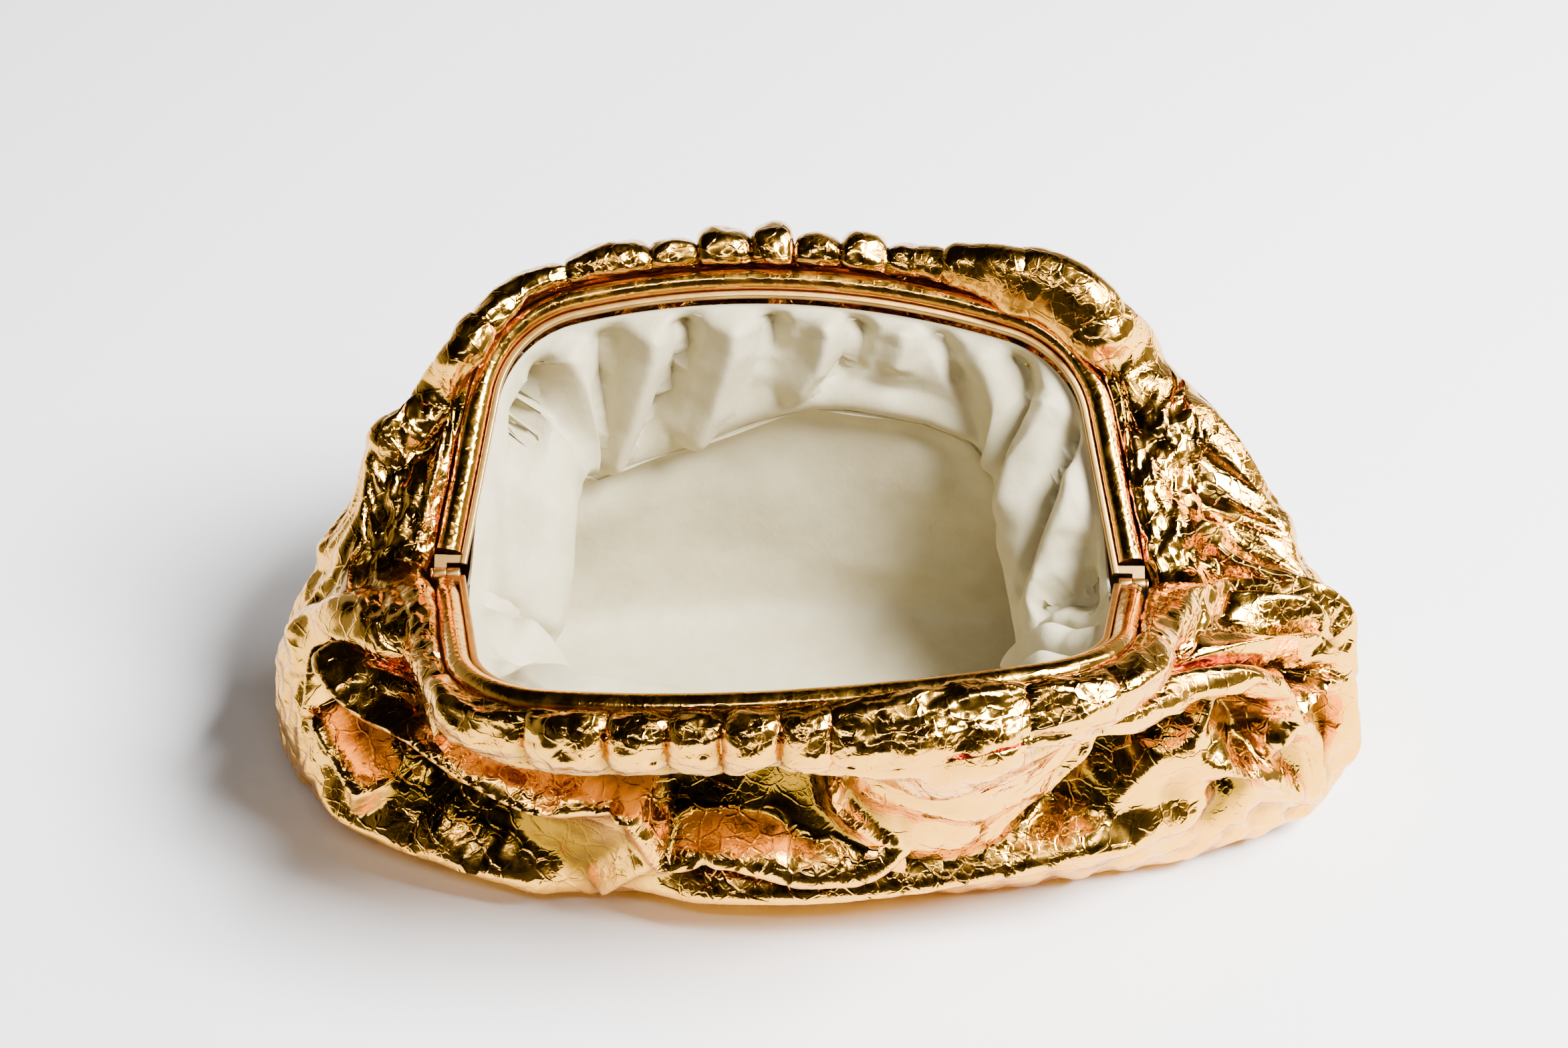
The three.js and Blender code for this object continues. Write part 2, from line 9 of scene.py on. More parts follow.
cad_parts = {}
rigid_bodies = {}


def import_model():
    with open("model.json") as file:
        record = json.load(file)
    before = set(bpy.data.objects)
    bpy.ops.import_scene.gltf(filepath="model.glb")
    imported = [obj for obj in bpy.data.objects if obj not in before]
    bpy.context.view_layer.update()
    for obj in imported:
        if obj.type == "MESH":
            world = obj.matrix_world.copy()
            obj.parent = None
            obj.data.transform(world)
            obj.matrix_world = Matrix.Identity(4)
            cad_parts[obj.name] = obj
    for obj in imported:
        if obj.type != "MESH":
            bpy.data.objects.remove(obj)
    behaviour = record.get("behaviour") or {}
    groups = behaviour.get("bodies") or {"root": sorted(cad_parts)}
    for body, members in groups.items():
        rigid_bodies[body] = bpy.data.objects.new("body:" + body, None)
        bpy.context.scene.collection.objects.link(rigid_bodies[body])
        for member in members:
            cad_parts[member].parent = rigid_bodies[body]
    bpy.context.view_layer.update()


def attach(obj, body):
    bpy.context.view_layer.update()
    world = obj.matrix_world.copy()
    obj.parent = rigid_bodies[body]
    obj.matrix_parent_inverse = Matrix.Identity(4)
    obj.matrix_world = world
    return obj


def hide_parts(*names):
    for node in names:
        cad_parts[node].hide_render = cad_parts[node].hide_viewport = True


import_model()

# What the hinged frame measures, in millimetres and degrees, as in the part's solids
frameShape = {
    "hingeSpan": 260.0, "hingeHeight": 94.0, "depth": 120.0, "sideLean": 9.0, "cornerRadius": 46.0,
    "barRadius": 320.0, "backTilt": 34.0, "frontTilt": 20.5, "twist": 5.0,
    "placeX": -9.7, "placeY": 3.9, "bodyShift": 10.0,
}

# The camera stands where the photographer stood: the point it looks at, its distance and its two angles
cameraView = {
    "aim": (-2.6, 0.0, 121.5), "distance": 1200.0, "azimuth": -0.404, "elevation": 40.0, "roll": 1.16,
    "lens": 73.67, "sensor": 36.0,
}


def linked(name, data):
    made = bpy.data.objects.new(name, data)
    bpy.context.scene.collection.objects.link(made)
    return made


def makeCamera():
    # Stands back from the aim along the line given by azimuth and elevation, looks at it, and rolls about that line
    azimuth, elevation = math.radians(cameraView["azimuth"]), math.radians(cameraView["elevation"])
    back = Vector((math.sin(azimuth) * math.cos(elevation), -math.cos(azimuth) * math.cos(elevation),
                   math.sin(elevation)))
    aim = Vector(cameraView["aim"]) + Vector((frameShape["placeX"], frameShape["placeY"], 0))
    data = bpy.data.cameras.new("photoCamera")
    data.lens, data.sensor_width, data.sensor_fit = cameraView["lens"], cameraView["sensor"], "HORIZONTAL"
    data.clip_start, data.clip_end = 0.05, 60
    camera = linked("photoCamera", data)
    roll = Matrix.Rotation(math.radians(cameraView["roll"]), 3, "Z").to_quaternion()
    camera.rotation_mode = "QUATERNION"
    camera.rotation_quaternion = (-back).to_track_quat("-Z", "Y") @ roll
    camera.location = (aim + back * cameraView["distance"]) / 1000
    bpy.context.scene.camera = camera


makeCamera()


def smoothStep(x):
    # 3x^2 - 2x^3 on x held between 0 and 1
    x = np.clip(x, 0.0, 1.0)
    return x * x * (3 - 2 * x)


def mix(a, b, t):
    return a + (b - a) * t


# Centre of the bar's arc, centre of the corner's arc and the three lengths that make half of a frame half
lean = math.radians(frameShape["sideLean"])
halfSpan = frameShape["hingeSpan"] / 2
cornerR, barR = frameShape["cornerRadius"], frameShape["barRadius"]
barCentre = np.array([0.0, frameShape["depth"] - barR])
sideStep = np.array([-math.sin(lean), math.cos(lean)])
cornerStart = np.array([halfSpan - math.cos(lean) * cornerR, -math.sin(lean) * cornerR])
toCentre = cornerStart - barCentre
along = float(toCentre @ sideStep)
sideLength = math.sqrt(along ** 2 - float(toCentre @ toCentre) + (barR - cornerR) ** 2) - along
cornerCentre = cornerStart + sideStep * sideLength
barAngle = math.atan2(cornerCentre[1] - barCentre[1], cornerCentre[0] - barCentre[0])
cornerLength = cornerR * (barAngle - lean)
halfLength = sideLength + cornerLength + barR * (math.pi / 2 - barAngle)


def halfPath(s):
    # s runs from the right hinge to the middle of the bar: a straight side, a round corner, then the bar's arc.
    # Gives across and reach in the plane of the half, and the outward direction there
    onSide = s <= sideLength
    onCorner = ~onSide & (s <= sideLength + cornerLength)
    turned = lean + (s - sideLength) / cornerR
    angle = np.where(onSide, lean, np.where(onCorner, turned, barAngle + (s - sideLength - cornerLength) / barR))
    radius = np.where(onSide | onCorner, cornerR, barR)
    onArc = [np.where(onCorner, cornerCentre[i], barCentre[i]) for i in range(2)]
    centre = [np.where(onSide, cornerStart[i] + sideStep[i] * s, onArc[i]) for i in range(2)]
    return centre[0] + radius * np.cos(angle), centre[1] + radius * np.sin(angle), np.cos(angle), np.sin(angle)


def mouthAt(u):
    # The frame in space: u is 0 at the left hinge, 0.25 at the back, 0.5 at the right hinge, 0.75 at the front.
    # Each half is its flat path, tilted about the hinge axis, with the tilt changing evenly along X
    u = np.mod(np.asarray(u, float), 1.0)
    back = u < 0.5
    share = np.where(back, u, 1 - u) * 2
    right = share > 0.5
    s = np.where(right, 1 - share, share) * 2 * halfLength
    across, reach, outX, outT = halfPath(s)
    sideX = np.where(right, 1.0, -1.0)
    x = across * sideX
    twist = frameShape["twist"] * x / halfSpan
    tilt = np.radians(np.where(back, frameShape["backTilt"] - twist, frameShape["frontTilt"] + twist))
    sideY = np.where(back, 1.0, -1.0)
    c, n = np.cos(tilt), np.sin(tilt)
    centre = np.stack([x, sideY * reach * c, frameShape["hingeHeight"] + reach * n], -1)
    out = np.stack([sideX * outX, sideY * outT * c, outT * n], -1)
    square = np.stack([0 * x, -sideY * n, c], -1)
    upright = np.exp(-((reach / 16) ** 2))[..., None]
    up = mix(square, np.array([0, 0, 1.0]), upright)
    up /= np.linalg.norm(up, axis=-1, keepdims=True)
    return {"centre": centre, "out": out, "square": square, "up": up, "s": s, "back": back, "share": share}


def catmullRom(four, t):
    # The cubic between the middle two of four places, with half the step between its neighbours as slope at each
    p0, p1, p2, p3 = four
    return p1 + 0.5 * t * (p2 - p0 + t * (2 * p0 - 5 * p1 + 4 * p2 - p3 + t * (3 * p1 - p0 - 3 * p2 + p3)))


def curveThrough(rows, v):
    # A smooth curve down each column of rows, at each v
    i = np.minimum(v.astype(int), len(rows) - 2)
    return catmullRom([rows[np.clip(i + k, 0, len(rows) - 1)] for k in (-1, 0, 1, 2)], (v - i)[:, None, None])


def ringRow(u, row, shift):
    # An oval: x = -half cos a, y = depth sin a, each to the power box, so that below 1 it is boxy. The height goes
    # from the ends to the front or back with |sin a|, and narrow makes the front shallower towards the right
    half, front, back, zFront, zBack, zEnd, rise, box, narrow = row
    a = np.mod(u, 1.0) * 2 * np.pi
    c, s = np.cos(a), np.sin(a)
    behind = s > 0
    depth = np.where(behind, back, front * (1 + narrow * np.minimum(c, 0)))
    blend = (np.hypot(s, 0.2) - 0.2) / (math.hypot(1, 0.2) - 0.2)
    z = mix(zEnd, np.where(behind, zBack, zFront), blend) - rise * c
    return np.stack([shift - half * np.sign(c) * np.abs(c) ** box, depth * np.sign(s) * np.abs(s) ** box, z], -1)


def unit(v):
    return v / np.maximum(np.linalg.norm(v, axis=-1, keepdims=True), 1e-9)


def gridNormals(p):
    # Outward unit vectors of a grid that runs down in its first index and round in its second, where it closes
    return unit(np.cross(np.roll(p, -1, 1) - np.roll(p, 1, 1), np.gradient(p, axis=0)))


def spread(values):
    # Twice as many rows and columns: new places take the mean of their neighbours and old ones keep 3/4 of
    # themselves, which is the cubic B-spline rule along each direction
    def along(a, wrap):
        before = np.roll(a, 1, 0) if wrap else np.concatenate([a[:1], a[:-1]])
        after = np.roll(a, -1, 0) if wrap else np.concatenate([a[1:], a[-1:]])
        kept, between = (before + 6 * a + after) / 8, (a + after) / 2
        out = np.empty((2 * len(a),) + a.shape[1:], a.dtype)
        out[0::2], out[1::2] = kept, between
        return out if wrap else out[:-1]
    return np.swapaxes(along(np.swapaxes(along(values, False), 0, 1), True), 0, 1)


def polylineHeights(p, u, surface, folds):
    # How far each fold pushes the surface out. A fold follows a line of (u, v) places; its height is
    # high * (1 - d / wide)^power at a distance d from that line, less near the line's ends. Ridges take the
    # highest, hollows the deepest, and a ridge of 7 mm or more leaves nothing of a hollow
    ridges, hollows = np.zeros(p.shape[:2]), np.zeros(p.shape[:2])
    for high, wide, power, round_, places in folds:
        places = np.array(places, float)
        fine = np.linspace(0, len(places) - 1, 5 * (len(places) - 1) + 1)
        path = np.stack([np.interp(fine, range(len(places)), places[:, k]) for k in range(2)], -1)
        line = surface(path[:, 0], path[:, 1])
        middle, reach = (places[:, 0].min() + places[:, 0].max()) / 2, np.ptp(places[:, 0]) / 2 + 0.05
        near = np.abs(np.mod(u - middle + 0.5, 1) - 0.5) < reach
        q = p[:, near]
        best, where = np.full(q.shape[:2], 1e9), np.zeros(q.shape[:2])
        for k in range(len(line) - 1):
            step = line[k + 1] - line[k]
            away = q - line[k]
            t = np.clip((away @ step) / max(step @ step, 1e-9), 0, 1)
            d = np.linalg.norm(away - t[..., None] * step, axis=-1)
            closer = d < best
            best[closer], where[closer] = d[closer], ((k + t) / (len(line) - 1))[closer]
        taper = 0.35 + 0.65 * smoothStep(5 * np.minimum(where, 1 - where))
        d = np.hypot(best, round_) - round_
        height = high * taper * np.clip(1 - d / wide, 0, 1) ** power
        target = ridges if high > 0 else hollows
        target[:, near] = np.maximum(target[:, near], height) if high > 0 else np.minimum(target[:, near], height)
    return ridges + hollows * (1 - np.clip(ridges / 7, 0, 1))


def buckle(base, offset, growU, growV, rounds, hold, ease, held, floor):
    # Leather that is cut larger than its place: every edge of the grid wants to be longer by growU round the bag
    # or growV down it, and pushes its two ends apart. Each round ease evens what was moved with its neighbours and
    # hold pulls it back to the offset that it started from. Where held is 1 it moves freely, where 0 not at all
    base, offset, growU, growV, held = [a.astype(np.float32) for a in (base, offset, growU, growV, held)]
    held = held[..., None]
    start = offset * held
    p = base + start
    size = lambda d: np.sqrt(np.einsum("ijk,ijk->ij", d, d))
    slant = (growU + growV) / 2
    restU = size(np.roll(base, -1, 1) - base) * (1 + growU)
    restV = size(base[1:] - base[:-1]) * (1 + growV[:-1])
    restA = size(np.roll(base, -1, 1)[1:] - base[:-1]) * (1 + slant[:-1])
    restB = size(np.roll(base, 1, 1)[1:] - base[:-1]) * (1 + slant[:-1])
    for _ in range(rounds):
        move = np.zeros_like(p)
        d = np.roll(p, -1, 1) - p
        d *= (0.5 - 0.5 * restU / np.maximum(size(d), 1e-6))[..., None]
        move += d
        move -= np.roll(d, 1, 1)
        d = p[1:] - p[:-1]
        d *= (0.5 - 0.5 * restV / np.maximum(size(d), 1e-6))[..., None]
        move[:-1] += d
        move[1:] -= d
        for rest, turn in ((restA, 1), (restB, -1)):
            d = np.roll(p, -turn, 1)[1:] - p[:-1]
            d *= (0.35 - 0.35 * rest / np.maximum(size(d), 1e-6))[..., None]
            move[:-1] += d
            move[1:] -= np.roll(d, turn, 1)
        p += 0.45 * move * held
        off = p - base - start
        around = (np.roll(off, 1, 1) + np.roll(off, -1, 1)) / 4
        around[1:-1] += (off[2:] + off[:-2]) / 4
        around[0] += off[1] / 2
        around[-1] += off[-2] / 2
        off += ease * (around - off)
        off *= (1 - hold) * held
        p = base + start + off
        p[..., 2] = np.maximum(p[..., 2], floor)
    return (p - base).astype(float)


def layLeather(label, look, shaped, growU, growV, free):
    # Lays spare leather on a coarse grid first and carries it on to the next finer one. At each level some noise
    # along the normals starts new folds, and then the edges push
    rng = np.random.default_rng(look["seed"])
    offset = None
    for stride, rounds, hold, ease, jitter in look["levels"]:
        base, grown, longer, held = [a[::stride, ::stride] for a in (shaped, growU, growV, free)]
        noise = gridNormals(base) * (rng.standard_normal(base.shape[:2]) * jitter)[..., None]
        offset = noise if offset is None else spread(offset) + noise
        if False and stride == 1:
            rounds = look["quickRounds"]
        offset = buckle(base, offset, grown, longer, rounds, hold, ease, held, look["floor"])
        print(label, "leather laid at every", stride, "columns, offset up to", round(float(np.abs(offset).max()), 1))
    return offset


def gridFaces(rows, cols, start, closed, turned=False):
    # Quads of a grid, in an order that makes the outward side round-to-down
    i = np.arange(rows - 1)[:, None] * cols + start
    j = np.arange(cols if closed else cols - 1)
    a, b = i + j, i + (j + 1) % cols
    quads = np.stack([a, b, b + cols, a + cols], -1).reshape(-1, 4)
    return quads[:, ::-1] if turned else quads


def stripFaces(fine, coarse, closed):
    # Triangles between a line of 4n places and a line of n places that run side by side
    cells = len(coarse) if closed else len(coarse) - 1
    j = np.arange(cells)
    f = [fine[(4 * j + k) % len(fine)] for k in range(5)]
    c = [coarse[j], coarse[(j + 1) % len(coarse)]]
    made = [(f[1], f[0], c[0]), (f[2], f[1], c[0]), (f[2], c[0], c[1]), (f[3], f[2], c[1]), (f[4], f[3], c[1])]
    return np.concatenate([np.stack(t, -1) for t in made])


def makeMesh(name, points, quads, triangles=None, sharp=50):
    # points in millimetres from the middle between the hinges; quads and triangles index them
    quads = np.asarray(quads).reshape(-1, 4)
    triangles = np.zeros((0, 3), int) if triangles is None else np.asarray(triangles).reshape(-1, 3)
    place = np.array([frameShape["placeX"], frameShape["placeY"], 0])
    mesh = bpy.data.meshes.new(name)
    mesh.vertices.add(len(points))
    mesh.vertices.foreach_set("co", ((points + place) / 1000).astype(np.float32).ravel())
    mesh.loops.add(quads.size + triangles.size)
    mesh.loops.foreach_set("vertex_index", np.concatenate([quads.ravel(), triangles.ravel()]).astype(np.int32))
    mesh.polygons.add(len(quads) + len(triangles))
    sizes = np.concatenate([np.full(len(quads), 4), np.full(len(triangles), 3)])
    mesh.polygons.foreach_set("loop_start", (np.cumsum(sizes) - sizes).astype(np.int32))
    mesh.update(calc_edges=True)
    mesh.validate()
    mesh.shade_smooth()
    mesh.set_sharp_from_angle(angle=math.radians(sharp))
    return linked(name, mesh)


def fan(ring, middle):
    # Triangles between a closed line of places and one in its middle
    return np.stack([ring, np.roll(ring, -1), np.full(len(ring), middle)], -1)


def wallMesh(name, fine, coarse, closed, sharp=50):
    # A closed wall between a fine grid, which shows, and a coarse one behind it with a quarter of its rows and
    # columns. A grid that closes round ends in a middle point; an open one is joined along all four sides
    rows, cols = fine.shape[:2]
    backRows, backCols = coarse.shape[:2]
    start = rows * cols
    points = [fine.reshape(-1, 3), coarse.reshape(-1, 3)]
    quads = [gridFaces(rows, cols, 0, closed), gridFaces(backRows, backCols, start, closed, turned=True)]
    at = np.arange(start).reshape(rows, cols)
    behind = start + np.arange(backRows * backCols).reshape(backRows, backCols)
    if closed:
        points += [fine[-1].mean(0)[None], coarse[-1].mean(0)[None]]
        middle = start + backRows * backCols
        triangles = [stripFaces(at[0], behind[0], True), fan(at[-1], middle), fan(behind[-1], middle + 1)[:, ::-1]]
    else:
        edge = lambda a: [a[0], a[:, -1], a[-1, ::-1], a[::-1, 0]]
        triangles = [stripFaces(f, c, False) for f, c in zip(edge(at), edge(behind))]
    return makeMesh(name, np.concatenate(points), np.concatenate(quads), np.concatenate(triangles), sharp)


class Wire:
    # A socket in a material's nodes. Sums and products of wires and numbers add their Math nodes
    def __init__(self, paint, socket):
        self.paint, self.socket = paint, socket

    def maths(self, operation, first, second):
        return self.paint.node("ShaderNodeMath", {0: first, 1: second}, operation=operation)[0]

    def __add__(self, other): return self.maths("ADD", self, other)
    def __radd__(self, other): return self.maths("ADD", other, self)
    def __sub__(self, other): return self.maths("SUBTRACT", self, other)
    def __rsub__(self, other): return self.maths("SUBTRACT", other, self)
    def __mul__(self, other): return self.maths("MULTIPLY", self, other)
    def __rmul__(self, other): return self.maths("MULTIPLY", other, self)

    def step(self, low, high):
        # 0 below low and 1 above high, with soft ends
        return self.paint.node("ShaderNodeMapRange", {"Value": self, "From Min": low, "From Max": high},
                               interpolation_type="SMOOTHSTEP")["Result"]


class Paint:
    # The nodes of one procedural material, or of the world, with the shader at their end
    def __init__(self, name, kind="materials", shader="Principled BSDF"):
        self.owner = getattr(bpy.data, kind).new(name)
        self.owner.use_nodes = True
        self.tree = self.owner.node_tree
        self.shader = self.tree.nodes[shader]

    def node(self, kind, values=None, stops=(), **settings):
        # Adds a node, sets its settings first and then the values or links of its sockets; gives its outputs
        made = self.tree.nodes.new(kind)
        for key, value in settings.items():
            setattr(made, key, value)
        for element, (at, colour) in zip(made.color_ramp.elements if stops else (), stops):
            element.position, element.color = at, colour
        self.join(made, values or {})
        return Outputs(self, made)

    def join(self, made, values):
        for key, value in values.items():
            socket = made.inputs[key]
            if isinstance(value, Wire):
                self.tree.links.new(value.socket, socket)
            else:
                socket.default_value = value

    def place(self, scale=(1, 1, 1), turn=(0, 0, 0)):
        # Object coordinates in centimetres, scaled and turned
        source = self.node("ShaderNodeTexCoord")["Object"]
        grown = tuple(100 * s for s in scale)
        return self.node("ShaderNodeMapping", {"Vector": source, "Scale": grown, "Rotation": turn})["Vector"]

    def noise(self, vector, scale, detail=3.0, rough=0.5, distortion=0.0):
        return self.node("ShaderNodeTexNoise", {"Vector": vector, "Scale": scale, "Detail": detail,
                                                "Roughness": rough, "Distortion": distortion})["Fac"]

    def shifted(self, vector, scale, amount):
        # The place moved about by a noise of its own, so that a pattern on it wanders
        wander = self.node("ShaderNodeTexNoise", {"Vector": vector, "Scale": scale, "Detail": 2.0})["Color"]
        centred = self.node("ShaderNodeVectorMath", {0: wander, 1: (0.5, 0.5, 0.5)}, operation="SUBTRACT")["Vector"]
        grown = self.node("ShaderNodeVectorMath", {0: centred, "Scale": amount}, operation="SCALE")["Vector"]
        return self.node("ShaderNodeVectorMath", {0: vector, 1: grown}, operation="ADD")["Vector"]

    def creases(self, vector, scale, width):
        # 1 on thin lines between the cells of a Voronoi pattern and 0 away from them
        edge = self.node("ShaderNodeTexVoronoi", {"Vector": vector, "Scale": scale},
                         feature="DISTANCE_TO_EDGE")["Distance"]
        return 1 - edge.step(0.0, width)

    def blend(self, share, first, second):
        made = self.node("ShaderNodeMix", {"Factor": share}, data_type="RGBA")
        self.join(made.node, {6: first, 7: second})
        return Wire(self, made.node.outputs[2])

    def bump(self, height, distance):
        return self.node("ShaderNodeBump", {"Height": height, "Distance": distance})["Normal"]

    def finish(self, **values):
        self.join(self.shader, {key.replace("_", " "): value for key, value in values.items()})
        return self.owner


class Outputs:
    # The outputs of a node, by name or number
    def __init__(self, paint, node):
        self.paint, self.node = paint, node

    def __getitem__(self, key):
        return Wire(self.paint, self.node.outputs[key])


# Crinkled metallic leather: the gold of the foil, a dark painted shade for the deepest folds, and how deep its
# creases, ripples and grain are in millimetres
goldFinish = {
    "bright": (0.95, 0.48, 0.055, 1), "deep": (0.93, 0.405, 0.032, 1), "paintedFoldShade": (0.27, 0.138, 0.005, 1),
    "smooth": 0.11, "rough": 0.22, "creases": 0.11, "ripples": 0.12, "fine": 0.06, "grain": 0.006,
}


def makeGold(name, calm=1.0):
    # calm below 1 makes the creases shallower, for leather drawn tight over the frame
    g = goldFinish
    paint = Paint(name)
    place = paint.place()
    wander = paint.shifted(place, 0.9, 0.7)
    patches = paint.noise(place, 0.5, 2.0).step(0.42, 0.62)
    folded = paint.creases(wander, 1.1, 0.08)
    crossed = paint.creases(paint.shifted(place, 2.2, 0.4), 3.0, 0.14) * (patches * 0.8 + 0.2)
    ripple = paint.noise(wander, 1.5, 3.0, 0.5, 0.4) + patches * 0.35 * paint.noise(place, 4.5, 2.0, 0.5)
    grain = paint.noise(place, 26.0, 2.0, 0.5)
    height = ripple * g["ripples"] + folded * g["creases"] + crossed * g["fine"] + grain * g["grain"]
    normal = paint.bump(height * calm, 0.001)
    colour = paint.blend(patches * 0.4 + folded * 0.3, g["bright"], g["deep"])
    # Painted shade: the colour turns to the dark fold shade where the attribute is 1, down in the deepest folds
    paintedShadeMask = paint.node("ShaderNodeAttribute", {}, attribute_name="paintedFoldShade")["Fac"]  # 1 down in the deepest folds
    colour = paint.blend(paintedShadeMask, colour, g["paintedFoldShade"])
    rough = g["smooth"] + paint.noise(place, 1.3, 2.0).step(0.4, 0.75) * (g["rough"] - g["smooth"]) + crossed * 0.06
    return paint.finish(Base_Color=colour, Metallic=1.0, Roughness=rough, Normal=normal)


# Bare metal of the frame: paler than the leather, brushed along X
giltFinish = {"bright": (0.64, 0.38, 0.11, 1), "dark": (0.52, 0.29, 0.08, 1), "rough": 0.26}


def makeGilt(name):
    paint = Paint(name)
    place = paint.place()
    brushed = paint.noise(paint.place((0.6, 6, 6)), 6.0, 3.0, 0.6)
    cloud = paint.noise(place, 1.4, 3.0)
    normal = paint.bump(brushed, 0.00005)
    colour = paint.blend(cloud.step(0.35, 0.7), giltFinish["bright"], giltFinish["dark"])
    rough = giltFinish["rough"] + brushed * 0.14
    return paint.finish(Base_Color=colour, Metallic=1.0, Roughness=rough, Normal=normal)


# Lining leather: soft off-white nappa with a fine grain
liningFinish = {"light": (0.50, 0.445, 0.285, 1), "shade": (0.43, 0.375, 0.22, 1), "grain": 0.05, "wrinkles": 0.25}


def makeNappa(name):
    paint = Paint(name)
    place = paint.place()
    cells = paint.node("ShaderNodeTexVoronoi", {"Vector": paint.shifted(place, 14.0, 0.05), "Scale": 11.0},
                       feature="SMOOTH_F1")["Distance"]
    pores = paint.noise(place, 40.0, 3.0, 0.6)
    cloud = paint.noise(place, 0.9, 3.0).step(0.3, 0.75)
    wrinkles = paint.noise(paint.shifted(place, 1.2, 0.5), 2.2, 3.0, 0.5)
    finish = liningFinish
    normal = paint.bump(wrinkles * finish["wrinkles"] + (cells * 0.7 + pores * 0.6) * finish["grain"], 0.001)
    colour = paint.blend(cloud * 0.6 + cells * 0.25, finish["light"], finish["shade"])
    return paint.finish(Base_Color=colour, Roughness=0.46 + pores * 0.14 + cloud * 0.06, Normal=normal,
                        Specular_IOR_Level=0.4)


goldLeather = makeGold("goldLeather")
tightGold = makeGold("goldLeatherTight", 0.35)
giltMetal = makeGilt("giltMetal")
nappa = makeNappa("liningLeather")
print("materials: gold leather, lining leather, gilt metal")


# The body: its gathers, its rows and its folds
# Each level of laid leather: grid stride, rounds, hold, ease and jitter in millimetres
bodyLook = {
    "columns": 832, "rimRows": 72, "bellyRows": 76, "floorRows": 12, "wall": 1.6, "backWall": 3.0, "floor": 0.0,
    "frontPinch": 0.3, "backPinch": 0.5, "seed": 11, "spare": 1.1, "quickRounds": 12,
    "levels": [(4, 160, 0.005, 0.08, 1.2), (2, 60, 0.012, 0.08, 0.25), (1, 30, 0.03, 0.08, 0.06)],
}

# Gathers along each bar: where the pinch lies from the left hinge to the right, how far the puff after it
# stands out, how far it hangs, and how far its crown leans to the next pinch
frontGathers = np.array([
    [0.0, 0.0, 0.0, 0.0], [0.07, 0.3, 0.1, 0.0], [0.13, 0.45, 0.2, 0.0], [0.2, 0.75, 0.5, 0.1],
    [0.289, 1.05, 1.0, -0.1], [0.355, 0.9, 0.9, 0.1], [0.403, 0.75, 0.8, 0.0], [0.448, 1.05, 1.0, 0.15],
    [0.492, 0.85, 1.1, 0.1], [0.531, 0.8, 0.5, 0.2], [0.69, 0.8, 0.3, 0.1],
    [0.754, 0.6, 0.3, 0.0], [0.82, 0.4, 0.2, 0.0], [0.9, 0.25, 0.1, 0.0],
])
backGathers = np.array([
    [0.0, 0.0, 0.0, 0.0], [0.08, 0.3, 0.1, 0.0], [0.15, 0.6, 0.3, 0.0], [0.223, 1.0, 0.6, 0.2],
    [0.297, 1.3, 0.8, -0.2], [0.372, 1.15, 0.8, 0.1], [0.414, 1.5, 1.0, 0.2], [0.462, 1.7, 0.9, -0.2],
    [0.5, 1.35, 0.8, -0.1], [0.542, 1.6, 0.9, 0.2], [0.582, 1.3, 0.7, 0.0], [0.636, 1.55, 0.6, 0.2],
    [0.702, 1.3, 0.4, 0.0], [0.763, 0.9, 0.3, 0.0], [0.84, 0.4, 0.2, 0.0], [0.92, 0.25, 0.1, 0.0],
])
# Where the front leather flows on into the body instead of rolling under: by share of the bar, and how far each
# row below the crown then moves out and up
flowOn = np.array([[0, 0], [0.5, 0], [0.56, 0.75], [0.63, 1], [0.7, 0.9], [0.8, 0.3], [0.9, 0], [1, 0]])
flowRows = np.array([[0, 0], [-0.5, 0.5], [-2, 0], [-3, -1], [1, 0], [3, 1], [6, 1]])
# Rows of the leather beside the frame: out and up from the centreline, what a full puff adds to each, the same
# row where the leather goes straight out past a hinge, and how much lower it lies at the front, where it also
# lies a fifth of that further out
rimRows = np.array([
    [5.4, 0, 4.3, 0, 6.4, -0.6, 4.4], [6.6, 0.9, 5.4, 4.0, 9, 2.6, 7.4], [9.2, 5.0, 3.6, 5.0, 15, 3.6, 7.4],
    [10, 9.5, -5, 0.5, 22, 2.5, 2.0], [9.5, 8.5, -12, -3.5, 27, 0, 0], [8, 4, -17, -3.5, 33, -3, 0],
    [3.5, 0, -23.5, 0, 38, -6, 0],
])
# At the back the crowns lean in over the bar and the pinches lie away from it: what each row gets outwards at
# its floor, and for a full puff
backLean = np.array([[0, 0], [3.9, -4.1], [0, 0], [0, 0], [0, 0], [0, 0], [0, 0]])
# Where the leather goes straight out: fully up to the first distance from a hinge, fading over the second, at the
# front left and right and the back left and right
flare = np.array([[14, 50], [26, 50], [42, 45], [50, 58]])
# Rows down the body: half length, depth in front and behind, height in front, behind and at the ends, how much
# higher the right end is, boxiness, and how much shallower the front gets to the right
bodyRows = np.array([
    [187, 100, 106, 99, 131, 83, 4, 1, 0], [202, 96, 101, 72, 96, 65, 4, 1, 0.06],
    [208, 95, 95, 38, 44, 38, 0, 0.95, 0.1], [206, 84, 84, 9, 9, 10, 0, 0.92, 0.13],
    [188, 64, 64, 0, 0, 0, 0, 0.92, 0.13], [96, 30, 30, 0, 0, 0, 0, 1, 0], [60, 0.2, 0.2, 0, 0, 0, 0, 1, 0],
])


def puffAt(share, gathers, floor):
    # The gathers' floor at the pinches and full between them: floor + (1 - floor) sin(pi w)^0.34, with w warped
    # by the crown's lean
    at, swell, sag, crown = gathers.T
    i = np.clip(np.searchsorted(at, share, side="right") - 1, 0, len(at) - 1)
    end = np.append(at[1:], 1.0)[i]
    w = np.clip((share - at[i]) / (end - at[i]), 0, 1)
    w = w + crown[i] * w * (1 - w) * 2
    full = floor + (1 - floor) * np.sin(np.pi * np.clip(w, 0, 1)) ** 0.34
    return swell[i] * full, sag[i] * full


